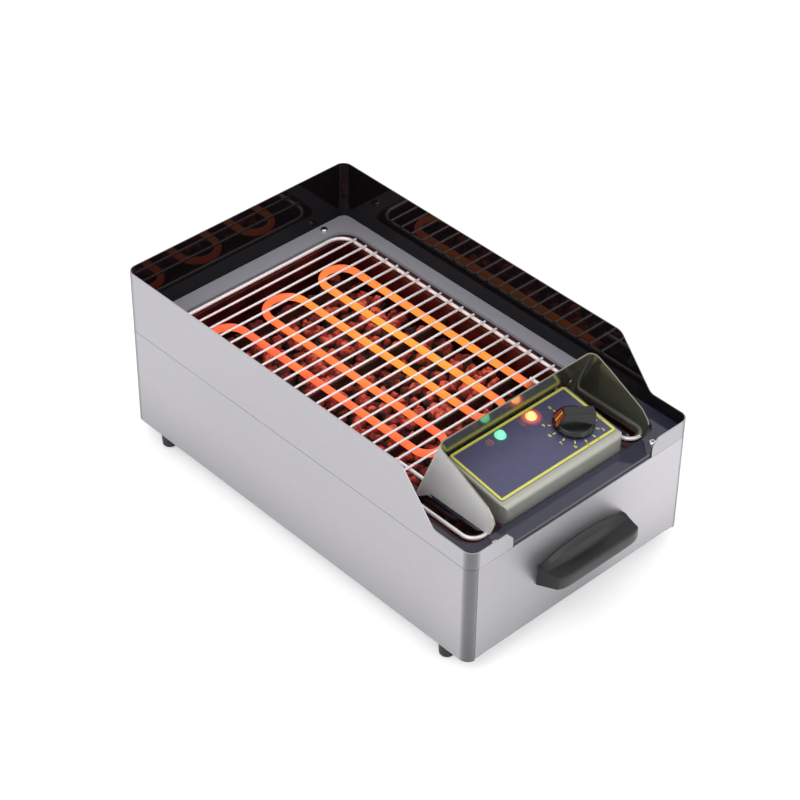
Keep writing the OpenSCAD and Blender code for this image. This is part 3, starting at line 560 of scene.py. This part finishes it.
def lamp_spill(tree, lamp, colour, reach):
    """The light that a lamp throws on the film round it: full at the lens, none at its reach."""
    coord = tree.nodes.new("ShaderNodeTexCoord")
    away = tree.nodes.new("ShaderNodeVectorMath")
    away.operation = "DISTANCE"
    away.inputs[1].default_value = sum(corners(lamp)) / 2
    tree.links.new(coord.outputs["Object"], away.inputs[0])
    fade = tree.nodes.new("ShaderNodeMapRange")
    fade.interpolation_type = "SMOOTHSTEP"
    for key, value in (("From Min", 5 * MM), ("From Max", reach), ("To Min", 1), ("To Max", 0)):
        fade.inputs[key].default_value = value
    tree.links.new(away.outputs["Value"], fade.inputs["Value"])
    return tint(tree, colour, fade.outputs["Result"])


def panel_finish(settings):
    """Printed film, lit red round the orange lamp and green round the green one."""
    material, tree, shader = new_material("printed_film", Roughness=0.35)
    patches = place_group(tree, mottle_group, Scale=120.0, Low=0.94, High=1.06)
    tree.links.new(tint(tree, settings.film, patches.outputs["Value"]), shader.inputs["Base Color"])
    both = tree.nodes.new("ShaderNodeVectorMath")
    tree.links.new(lamp_spill(tree, "lamp_orange", (1.0, 0.10, 0.03), 13.5 * MM), both.inputs[0])
    tree.links.new(lamp_spill(tree, "lamp_green", (0.1, 0.5, 0.28), 8 * MM), both.inputs[1])
    tree.links.new(both.outputs[0], shader.inputs["Emission Color"])
    shader.inputs["Emission Strength"].default_value = 0.8
    return material


def lamp_finish(name, colour, strength, core):
    """A tinted lens that glows, palest where it faces the viewer."""
    material, tree, shader = new_material(name, Roughness=0.15, Base_Color=colour)
    facing = tree.nodes.new("ShaderNodeLayerWeight")
    facing.inputs["Blend"].default_value = 0.35
    shade = colour_ramp(tree, facing.outputs["Facing"], (0.0, core), (0.8, colour))
    tree.links.new(shade, shader.inputs["Emission Color"])
    shader.inputs["Emission Strength"].default_value = strength
    return material


def make_materials(settings):
    """Every material of the grill, by name."""
    return {
        # the case, the drawer front and the guard share folded_steel's painted dark reflection on
        # the bends and painted shade towards the foot
        "case": folded_steel("case_steel", settings),
        "drawer": drawer_steel(settings),
        "guard": guard_finish(settings),
        "plain": polished("plain_steel", (0.5, 0.5, 0.51), 0.3, 0.42),
        "shield": shield_finish(),
        "satin": brushed_steel("satin_steel", (0.42, 0.42, 0.375), STRETCH_DOWN, 0.42, 0.3,
                               0.0002, 0.6),
        "enamel": polished("black_enamel", settings.enamel_top, 0.05, 0.10, 0.0, IOR=1.75),
        "plate": plate_finish(settings),
        # painted glow: the red tint and the patches of the tub enamel are the element's light
        # painted on it
        "tub": speckled("tub_enamel", (0.05, 0.006, 0.006), 0.1, 1.6, 36, 0.3),
        "scale": speckled("heat_scale", (0.016, 0.004, 0.0035), 0.4, 1.6, 90, 0.6),
        "wire": polished("bright_wire", (0.97, 0.93, 0.95), 0.2, 0.3, 0.3),
        "bright": polished("bright_screw", (0.75, 0.75, 0.74), 0.15, 0.25, scale=200.0),
        "brass": polished("brass_fitting", (0.6, 0.42, 0.14), 0.2, 0.35),
        "ceramic": speckled("pale_moulding", (0.62, 0.58, 0.48), 0.92, 1.05, 80, 0.5),
        "glow": element_finish(settings),
        "stone": rock_finish(settings),
        "film": panel_finish(settings),
        "plastic": speckled("black_plastic", (0.006, 0.006, 0.007), 0.8, 1.2, 200, 0.2,
                            bump=0.00001),
        "handle": speckled("handle_plastic", (0.009, 0.0095, 0.009), 0.85, 1.15, 260, 0.34,
                           bump=0.00003),
        "rubber": speckled("foot_rubber", (0.012, 0.012, 0.012), 0.7, 1.3, 150, 0.6),
        "pointer": speckled("pointer_paint", (0.36, 0.035, 0.012), 0.9, 1.1, 150, 0.35),
        "print": speckled("yellow_print", settings.print_colour, 0.93, 1.05, 150, 0.4),
        "icon": speckled("orange_print", (0.50, 0.20, 0.08), 0.9, 1.1, 150, 0.4),
        # painted shade: the near-black of the screws' driver recesses
        "recess": speckled("driver_recess", (0.05, 0.05, 0.055), 0.7, 1.2, 300, 0.4, 0.8),
        "green": lamp_finish("green_lens", (0.02, 0.62, 0.25), 1.0, (0.35, 1.0, 0.62)),
        "orange": lamp_finish("orange_lens", (1.0, 0.18, 0.02), 1.6, (1.0, 0.72, 0.25)),
    }


NODE_FINISH = {
    "case": ["body_shell"],
    "drawer": ["drawer_front"],
    "guard": ["splash_guard"],
    "plain": ["top_flange", "base_flange", "floor_pan", "foot_screws", "guard_nuts",
              "shield_rivets", "runner_left", "runner_right", "drip_tray", "handle_screws"],
    "shield": ["heat_shield"],
    "satin": ["control_box"],
    "enamel": ["control_shelf"],
    "plate": ["top_plate"],
    "tub": ["fire_tub"],
    "scale": ["rock_grate", "element_supports"],
    "wire": ["grid_frame", "grid_bars"],
    "bright": ["guard_screws", "element_pins", "thermostat_spindle"],
    "brass": ["element_glands", "thermostat_bush"],
    "ceramic": ["thermostat", "terminal_strip", "lamp_holders"],
    "glow": ["heating_element"],
    "stone": ["lava_rocks"],
    "film": ["control_panel"],
    "plastic": ["control_knob", "safety_cutout", "cable_gland"],
    "handle": ["drawer_handle"],
    "rubber": ["foot_front_left", "foot_front_right", "foot_rear_left", "foot_rear_right"],
    "pointer": ["knob_pointer"],
    "green": ["lamp_green"],
    "orange": ["lamp_orange"],
}
MATERIALS = {}


def finish_named(name):
    """A material by its short name, made on first use."""
    if not MATERIALS:
        MATERIALS.update(make_materials(bpy.context.scene.table_grill))
    return MATERIALS[name]


# ---- pieces ----

def stone_points(centre, size, rng):
    """A lava stone: a sphere over angles t and p, whose radius is one plus a sum of sine
    waves of growing frequency and falling height, then flattened by three sizes and turned."""
    t = np.linspace(0, math.pi, STONE_RINGS)[:, None]
    p = np.linspace(0, 2 * math.pi, STONE_SIDES, endpoint=False)[None, :]
    unit = np.stack([np.sin(t) * np.cos(p), np.sin(t) * np.sin(p), np.cos(t) * np.ones_like(p)], -1)
    radius = np.ones(unit.shape[:2])
    for k in (2.0, 3.6, 6.5):
        waves = rng.normal(size=(3, 3)) * k
        phase = rng.uniform(0, 2 * math.pi, 3)
        radius += 0.30 / k * np.sin(unit @ waves.T + phase).sum(-1)
    stretch = rng.uniform([0.9, 0.75, 0.6], [1.2, 1.0, 0.85])
    turn = np.array(Matrix.Rotation(rng.uniform(0, 6.3), 3, Vector(rng.normal(size=3))))
    return (unit * radius[..., None] * stretch * size) @ turn.T + centre


def make_stones(settings):
    """Stones in two layers of a jittered honeycomb that fill the CAD bed."""
    low, high = corners("lava_rocks")
    rng = np.random.default_rng(11)
    step = settings.stone_size
    faces = grid_faces(STONE_RINGS, STONE_SIDES, wrap_cols=True)
    parts = []
    for layer in (0, 1):
        for j in range(int((high[1] - low[1]) / (step * 0.9))):
            for i in range(int((high[0] - low[0]) / step)):
                x = low[0] + (0.5 + i + 0.5 * ((j + layer) % 2)) * step
                y = low[1] + (0.5 + 0.9 * j + 0.4 * layer) * step
                radius = step * rng.uniform(0.40, 0.54)
                jitter = rng.uniform(-0.22, 0.22, 3) * (step, step, 0.5 * step)
                z = high[2] - radius * (0.95 if layer else 1.5)
                centre = np.clip(np.array([x, y, z]) + jitter, low + radius, high - radius)
                points = np.clip(stone_points(centre, radius, rng), low, high)
                parts.append((points, faces))
    stones = mesh_object("lava_stones", *joined(parts))
    clean_normals(stones)
    finish_piece(stones, finish_named("stone"), "case")
    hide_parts("lava_rocks")


def flat_strip(points, width, height, closed=False):
    """A flat ribbon of the given width along points (u, v) on the panel, at that height:
    each point is moved sideways along the mean normal of its two neighbours."""
    p = np.asarray(points, float)
    ahead = np.roll(p, -1, 0) - p
    behind = p - np.roll(p, 1, 0)
    if not closed:
        ahead[-1], behind[0] = behind[-1], ahead[0]
    ahead /= np.linalg.norm(ahead, axis=1)[:, None]
    behind /= np.linalg.norm(behind, axis=1)[:, None]
    middle = ahead + behind
    middle /= np.linalg.norm(middle, axis=1)[:, None]
    side = np.stack([-middle[:, 1], middle[:, 0]], 1)
    side *= (0.5 * width / np.maximum((middle * ahead).sum(1), 0.3))[:, None]
    edge = np.stack([p + side, p - side], 1)
    return (on_panel(edge[..., 0], edge[..., 1], height).reshape(-1, 3),
            grid_faces(len(p), 2, wrap_rows=closed))


def arc(centre, radius, start, stop, count=24):
    """Points on an arc between two angles in degrees."""
    a = np.radians(np.linspace(start, stop, count))
    return np.stack([centre[0] + radius * np.cos(a), centre[1] + radius * np.sin(a)], 1)


def rounded_box(low, high, radius, count=6):
    """The outline of a rectangle with rounded corners."""
    spots = [((high[0] - radius, high[1] - radius), 0), ((low[0] + radius, high[1] - radius), 90),
             ((low[0] + radius, low[1] + radius), 180), ((high[0] - radius, low[1] + radius), 270)]
    return np.concatenate([arc(c, radius, a, a + 90, count) for c, a in spots])


def panel_corners():
    """The lowest and highest (u, v) of the printed panel's face."""
    low, high = corners("control_panel")
    slope = PANEL_UP[2] / PANEL_UP[1]
    top = PANEL_ORIGIN[2] + slope * (high[1] - PANEL_ORIGIN[1])
    return (np.array([low[0] - PANEL_ORIGIN[0], (low[1] - PANEL_ORIGIN[1]) / PANEL_UP[1]]),
            np.array([high[0] - PANEL_ORIGIN[0], (top - PANEL_ORIGIN[2]) / PANEL_UP[2]]))


def dial_angles():
    """Directions of the dial's marks: 0, then 1 to the top number, which lies under the
    pointer at rest."""
    top = math.degrees(POINTER_ANGLE)
    return [DIAL_OFF] + [top + DIAL_STEP * (DIAL_TOP - n) for n in range(1, DIAL_TOP + 1)]


def make_border():
    """The pale yellow border of the panel and the dial's short marks."""
    low, high = panel_corners()
    outline = rounded_box(low + BORDER_INSET, high - BORDER_INSET, BORDER_RADIUS)
    parts = [flat_strip(outline, BORDER_WIDTH, PRINT_HEIGHT, True)]
    for angle in dial_angles():
        a = math.radians(angle)
        ends = [(r * math.cos(a), r * math.sin(a)) for r in TICK_ENDS]
        parts.append(flat_strip(ends, TICK_WIDTH, PRINT_HEIGHT))
    border = mesh_object("panel_print", *joined(parts), smooth=False)
    finish_piece(border, finish_named("print"), "case")


def make_numbers():
    """The dial's numbers, as flat text laid on the panel."""
    turn = Matrix([[*v] for v in zip(PANEL_ACROSS, PANEL_UP, PANEL_NORMAL)]).to_4x4()
    parts = []
    for number, angle in enumerate(dial_angles()):
        curve = bpy.data.curves.new(f"number_{number}", "FONT")
        curve.body = str(number)
        curve.size = NUMBER_SIZE
        curve.offset = NUMBER_BOLD
        curve.align_x = "CENTER"
        curve.align_y = "CENTER"
        text = bpy.data.objects.new(curve.name, curve)
        bpy.context.scene.collection.objects.link(text)
        bpy.context.view_layer.update()
        mesh = bpy.data.meshes.new_from_object(text)
        a = math.radians(angle)
        place = on_panel(NUMBER_REACH * math.cos(a), NUMBER_REACH * math.sin(a), PRINT_HEIGHT)
        mesh.transform(Matrix.Translation(Vector(place)) @ turn)
        points = np.empty(len(mesh.vertices) * 3)
        mesh.vertices.foreach_get("co", points)
        parts.append((points.reshape(-1, 3), [list(f.vertices) for f in mesh.polygons]))
        bpy.data.objects.remove(text)
    numbers = mesh_object("dial_numbers", *joined(parts), smooth=False)
    finish_piece(numbers, finish_named("print"), "case")


def make_icons():
    """A power sign in a ring beside the green lamp and a thermometer beside the orange one."""
    ring = panel_place(sum(corners("lamp_green")) / 2) - np.array([16, 1]) * MM
    parts = [flat_strip(arc(ring, 4.0 * MM, 0, 345), 0.7 * MM, PRINT_HEIGHT, True),
             flat_strip([ring, ring + np.array([0, 2.4]) * MM], 0.7 * MM, PRINT_HEIGHT),
             flat_strip(arc(ring, 1.9 * MM, 125, 415), 0.6 * MM, PRINT_HEIGHT)]
    bulb = panel_place(sum(corners("lamp_orange")) / 2) - np.array([15, 3]) * MM
    tube = bulb + np.array([[-1, 1], [-1, 7], [1, 7], [1, 1]]) * MM
    parts += [flat_strip(tube, 0.5 * MM, PRINT_HEIGHT),
              flat_strip(arc(bulb, 1.7 * MM, 55, -235), 0.6 * MM, PRINT_HEIGHT)]
    for y in (2, 4, 6):
        degree = bulb + np.array([[2.4, y], [4, y]]) * MM
        parts.append(flat_strip(degree, 0.5 * MM, PRINT_HEIGHT))
    icons = mesh_object("panel_icons", *joined(parts), smooth=False)
    finish_piece(icons, finish_named("icon"), "case")


def make_pointer_line():
    """A thin raised line down the slope of the knob's pointer: a four-cornered profile moved
    straight from the skirt's foot to the top of the grip."""
    out = math.cos(POINTER_ANGLE) * PANEL_ACROSS + math.sin(POINTER_ANGLE) * PANEL_UP
    side = np.cross(PANEL_NORMAL, out)
    foot = PANEL_ORIGIN + out * 20.9 * MM + PANEL_NORMAL * 6.0 * MM
    top = PANEL_ORIGIN + out * 14.5 * MM + PANEL_NORMAL * 19.0 * MM
    away = np.cross(top - foot, side) / np.linalg.norm(top - foot)
    away *= np.sign(away @ out)
    count = 8
    middle = foot + np.linspace(0, 1, count)[:, None] * (top - foot)
    profile = [(-0.8, -0.1), (-0.7, 0.18), (0.7, 0.18), (0.8, -0.1)]
    rows = np.stack([middle + a * MM * side + b * MM * away for a, b in profile], 1)
    faces = grid_faces(count, len(profile), wrap_cols=True) + end_caps(count, len(profile))
    line = mesh_object("pointer_line", rows.reshape(-1, 3), faces, smooth=False)
    clean_normals(line)
    finish_piece(line, finish_named("print"), "knob")


NEARLY_STRAIGHT = 1.5  # half the angle of a corner that is left as it is


def rounded_path(points, steps=5):
    """A closed outline of points (a, b, r), each corner replaced by an arc of radius r that
    touches both of its sides."""
    *places, radii = np.array(points, float).T
    p = np.stack(places, 1)
    outline = []
    for corner, before, after, radius in zip(p, np.roll(p, 1, 0), np.roll(p, -1, 0), radii):
        u = (before - corner) / np.linalg.norm(before - corner)
        v = (after - corner) / np.linalg.norm(after - corner)
        half = 0.5 * math.acos(np.clip(u @ v, -1, 1))
        if radius == 0 or half > NEARLY_STRAIGHT:
            outline += [corner] * (steps + 1)
            continue
        centre = corner + (u + v) / np.linalg.norm(u + v) * radius / math.sin(half)
        start = corner + u * radius / math.tan(half) - centre
        stop = corner + v * radius / math.tan(half) - centre
        turn = math.atan2(start[0] * stop[1] - start[1] * stop[0], start @ stop)
        a = math.atan2(start[1], start[0]) + turn * np.linspace(0, 1, steps + 1)
        outline += list(centre + radius * np.stack([np.cos(a), np.sin(a)], 1))
    return np.array(outline)


def make_handle():
    """The handle's smooth scoop: a section of reach and height swept along the width u from
    -1 to 1. Its rear edge is an arch of one less u squared, in front of it run a ridge, a
    hollow that is deepest in the middle and a soft lip, and the ends draw in with the reach."""
    low, high = corners("drawer_handle")
    half_width, reach = 64, 30
    front = reach - 0.4  # just inside the solid handle's front
    lip_top, lip_foot = 22.6, 6.5
    taper = 6
    rows = []
    for u in np.linspace(-1, 1, 41):
        arch = 1 - u * u
        end = 3.0 * abs(u) ** 12
        section = rounded_path([
            (0, 0.3, 0), (0, 23.5 + 10.5 * arch, 0), (1.2, 24.0 + 10.5 * arch, 0.5),
            (5.0, 24.6 + 1.0 * arch, 0.8), (10.5, 23.4 - 4.0 * arch, 5), (19, 22.8 - 2.5 * arch, 6),
            (front - end, lip_top, 2.6), (front - end, lip_foot + 0.4 * end, 3.0)])
        out, up = section.T
        x = u * (half_width - taper * out / reach)
        rows.append(np.stack([x * MM, high[1] - out * MM, low[2] + up * MM], 1))
    rows = np.array(rows)
    shape = rows.shape[:2]
    faces = grid_faces(*shape, wrap_cols=True) + end_caps(*shape)
    handle = mesh_object("handle_scoop", rows.reshape(-1, 3), faces)
    clean_normals(handle)
    handle.data.set_sharp_from_angle(angle=math.radians(40))
    finish_piece(handle, finish_named("handle"), "drawer")
    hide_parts("drawer_handle")


def cross_recess(centre, size):
    """The painted shade of a four-armed driver recess, as two flat crossed bars seen from above."""
    narrow = 0.28 * size
    parts = []
    for a, b in ((size, narrow), (narrow, size)):
        points = centre + np.array([[-a, -b, 0], [a, -b, 0], [a, b, 0], [-a, b, 0]])
        parts.append((points, [[0, 1, 2, 3]]))
    return joined(parts)


def make_recesses():
    """Painted shade of the driver recesses on the guard screws' heads, as dark flat crosses. The
    front pair has its own gauge, and the rear pair lies at the corners of the node's box."""
    low, high = corners("guard_screws")
    front = low[1] + SCREW_HEAD_RADIUS
    rear = high[1] - SCREW_HEAD_RADIUS
    above = high[2] + 0.03 * MM
    places = [(s * x, y, above) for s in (-1, 1)
              for x, y in ((GUARD_GAUGE, front), (high[0] - SCREW_HEAD_RADIUS, rear))]
    parts = [cross_recess(np.array(place), RECESS_REACH) for place in places]
    recesses = mesh_object("driver_recesses", *joined(parts), smooth=False)
    finish_piece(recesses, finish_named("recess"), "case")


# ---- stage ----

CAMERA_PLACE = (-1.40898, -1.47074, 1.77387)
CAMERA_AZIMUTH = math.radians(-43.561)
CAMERA_HEIGHT = math.radians(39.0426)
CAMERA_ROLL = math.radians(0.782)
CAMERA_LENS = 108.974


def make_camera():
    """The photograph's view: a long lens that looks down at the grill from its front left."""
    back = Vector((math.sin(CAMERA_AZIMUTH) * math.cos(CAMERA_HEIGHT),
                   -math.cos(CAMERA_AZIMUTH) * math.cos(CAMERA_HEIGHT), math.sin(CAMERA_HEIGHT)))
    level = Vector((0, 0, 1)).cross(back).normalized()
    up = back.cross(level)
    right = math.cos(CAMERA_ROLL) * level + math.sin(CAMERA_ROLL) * up
    above = -math.sin(CAMERA_ROLL) * level + math.cos(CAMERA_ROLL) * up
    data = bpy.data.cameras.new("camera")
    data.lens = CAMERA_LENS
    data.sensor_width = 36.0
    data.clip_end = 50.0
    camera = bpy.data.objects.new("camera", data)
    bpy.context.scene.collection.objects.link(camera)
    turn = Matrix((right, above, back)).transposed().to_4x4()
    camera.matrix_world = Matrix.Translation(Vector(CAMERA_PLACE)) @ turn
    bpy.context.scene.camera = camera


LAMP_SIZE = 1.6
LAMP_TARGET = Vector((0, 0, 0.1))


def make_lamp(name, place, watts):
    """A square soft lamp at a place, turned to the grill."""
    data = bpy.data.lights.new(name, "AREA")
    data.size = LAMP_SIZE
    data.energy = watts
    lamp = bpy.data.objects.new(name, data)
    bpy.context.scene.collection.objects.link(lamp)
    lamp.location = place
    lamp.rotation_euler = (LAMP_TARGET - Vector(place)).to_track_quat("-Z", "Y").to_euler()


def make_world():
    """An even pale sky, white where it is looked at."""
    world = bpy.data.worlds.new("studio")
    bpy.context.scene.world = world
    world.use_nodes = True
    tree = world.node_tree
    soft = tree.nodes["Background"]
    soft.inputs["Color"].default_value = (1, 1, 1, 1)
    soft.inputs["Strength"].default_value = 0.85
    white = tree.nodes.new("ShaderNodeBackground")
    white.inputs["Color"].default_value = (1, 1, 1, 1)
    white.inputs["Strength"].default_value = 1.0
    mix = tree.nodes.new("ShaderNodeMixShader")
    for k, socket in enumerate((looked_at(tree), soft.outputs[0], white.outputs[0])):
        tree.links.new(socket, mix.inputs[k])
    tree.links.new(mix.outputs[0], tree.nodes["World Output"].inputs["Surface"])


def make_floor():
    """A wide pale floor that keeps the grill's soft shadow, lifted to white where it is seen."""
    half = 6.0
    points = [(-half, -half, 0), (half, -half, 0), (half, half, 0), (-half, half, 0)]
    floor = mesh_object("floor", points, [[0, 1, 2, 3]], smooth=False)
    material, tree, shader = new_material(
        "pale_floor", Roughness=0.9, Base_Color=(0.93, 0.93, 0.93), Emission_Color=(1, 1, 1))
    lift = math_node(tree, "MULTIPLY", looked_at(tree), 0.3)
    tree.links.new(lift, shader.inputs["Emission Strength"])
    floor.data.materials.append(material)


# ---- add-on ----

class TableGrillSettings(bpy.types.PropertyGroup):
    """Sizes and colours of the visual model."""
    stone_size: FloatProperty(
        name="Stone size", description="Mean breadth of one lava stone", default=0.0205,
        min=0.018, max=0.04, unit="LENGTH")
    glow: FloatProperty(
        name="Glow", description="Brightness of the heating element", default=1.15, min=0.0, max=5.0)
    glow_low: FloatVectorProperty(
        name="Cooler glow", description="Colour of the element's cooler stretches", subtype="COLOR",
        default=(1.0, 0.105, 0.04), min=0.0, max=1.0)
    glow_high: FloatVectorProperty(
        name="Hotter glow", description="Colour of the element's hotter stretches", subtype="COLOR",
        default=(1.0, 0.39, 0.03), min=0.0, max=1.0)
    steel: FloatVectorProperty(
        name="Steel", description="Colour of the brushed case", subtype="COLOR",
        default=(0.46, 0.45, 0.475), min=0.0, max=1.0)
    enamel: FloatVectorProperty(
        name="Guard enamel", description="Colour of the guard's inner faces", subtype="COLOR",
        default=(0.006, 0.005, 0.006), min=0.0, max=1.0)
    enamel_top: FloatVectorProperty(
        name="Shelf enamel", description="Colour of the control shelf", subtype="COLOR",
        default=(0.028, 0.028, 0.055), min=0.0, max=1.0)
    # the top plate's pale blue-grey is a painted sheen on its black enamel
    plate: FloatVectorProperty(
        name="Plate enamel", description="Colour of the top plate", subtype="COLOR",
        default=(0.36, 0.35, 0.39), min=0.0, max=1.0)
    # the stones' red is the element's glow painted on them
    stone: FloatVectorProperty(
        name="Stone", description="Colour of the glowing lava stones", subtype="COLOR",
        default=(0.62, 0.12, 0.075), min=0.0, max=1.0)
    film: FloatVectorProperty(
        name="Panel", description="Colour of the printed panel", subtype="COLOR",
        default=(0.072, 0.070, 0.150), min=0.0, max=1.0)
    print_colour: FloatVectorProperty(
        name="Print", description="Colour of the panel's border and numbers", subtype="COLOR",
        default=(0.72, 0.70, 0.12), min=0.0, max=1.0)


class GRILL_OT_stage(bpy.types.Operator):
    """Make the camera, the lamps, the sky and the floor"""
    bl_idname = "grill.stage"
    bl_label = "Stage"

    def execute(self, context):
        make_camera()
        make_world()
        make_floor()
        make_lamp("key_lamp", (-1.6, -0.6, 2.0), 14)
        make_lamp("fill_lamp", (0.6, -2.2, 1.2), 9)
        context.scene.view_settings.view_transform = "Standard"
        return {"FINISHED"}


class GRILL_OT_finishes(bpy.types.Operator):
    """Give every part of the CAD frame its finish"""
    bl_idname = "grill.finishes"
    bl_label = "Finishes"

    def execute(self, context):
        for finish, nodes in NODE_FINISH.items():
            for node in nodes:
                data = frame["nodes"][node].data
                data.materials.clear()
                data.materials.append(finish_named(finish))
        return {"FINISHED"}


class GRILL_OT_stones(bpy.types.Operator):
    """Fill the tub with lava stones"""
    bl_idname = "grill.stones"
    bl_label = "Lava stones"

    def execute(self, context):
        make_stones(context.scene.table_grill)
        return {"FINISHED"}


class GRILL_OT_panel(bpy.types.Operator):
    """Print the control panel's border, dial and signs"""
    bl_idname = "grill.panel"
    bl_label = "Panel print"

    def execute(self, context):
        make_border()
        make_numbers()
        make_icons()
        make_pointer_line()
        return {"FINISHED"}


class GRILL_OT_handle(bpy.types.Operator):
    """Shape the drawer's handle"""
    bl_idname = "grill.handle"
    bl_label = "Handle"

    def execute(self, context):
        make_handle()
        return {"FINISHED"}


class GRILL_OT_fixings(bpy.types.Operator):
    """Lay the painted shade of the guard screws' driver recesses"""
    bl_idname = "grill.fixings"
    bl_label = "Fixings"

    def execute(self, context):
        make_recesses()
        return {"FINISHED"}


class GRILL_PT_parts(bpy.types.Panel):
    """Lists the grill's settings and the buttons that make its pieces"""
    bl_label = "Table Grill"
    bl_idname = "GRILL_PT_parts"
    bl_space_type = "VIEW_3D"
    bl_region_type = "UI"
    bl_category = "Table Grill"

    def draw(self, context):
        for key in TableGrillSettings.__annotations__:
            self.layout.prop(context.scene.table_grill, key)
        for operator in OPERATORS:
            self.layout.operator(operator.bl_idname)


OPERATORS = (GRILL_OT_stage, GRILL_OT_finishes, GRILL_OT_stones, GRILL_OT_panel,
             GRILL_OT_handle, GRILL_OT_fixings)
CLASSES = (TableGrillSettings, *OPERATORS, GRILL_PT_parts)


def register():
    """Adds the settings, the operators and the panel."""
    for cls in CLASSES:
        bpy.utils.register_class(cls)
    bpy.types.Scene.table_grill = PointerProperty(type=TableGrillSettings)


def unregister():
    """Takes them away again."""
    del bpy.types.Scene.table_grill
    for cls in reversed(CLASSES):
        bpy.utils.unregister_class(cls)


def main():
    """Builds the whole visual model."""
    register()
    bpy.ops.grill.stage()
    bpy.ops.grill.finishes()
    bpy.ops.grill.stones()
    bpy.ops.grill.panel()
    bpy.ops.grill.handle()
    bpy.ops.grill.fixings()


if __name__ == "__main__":
    main()
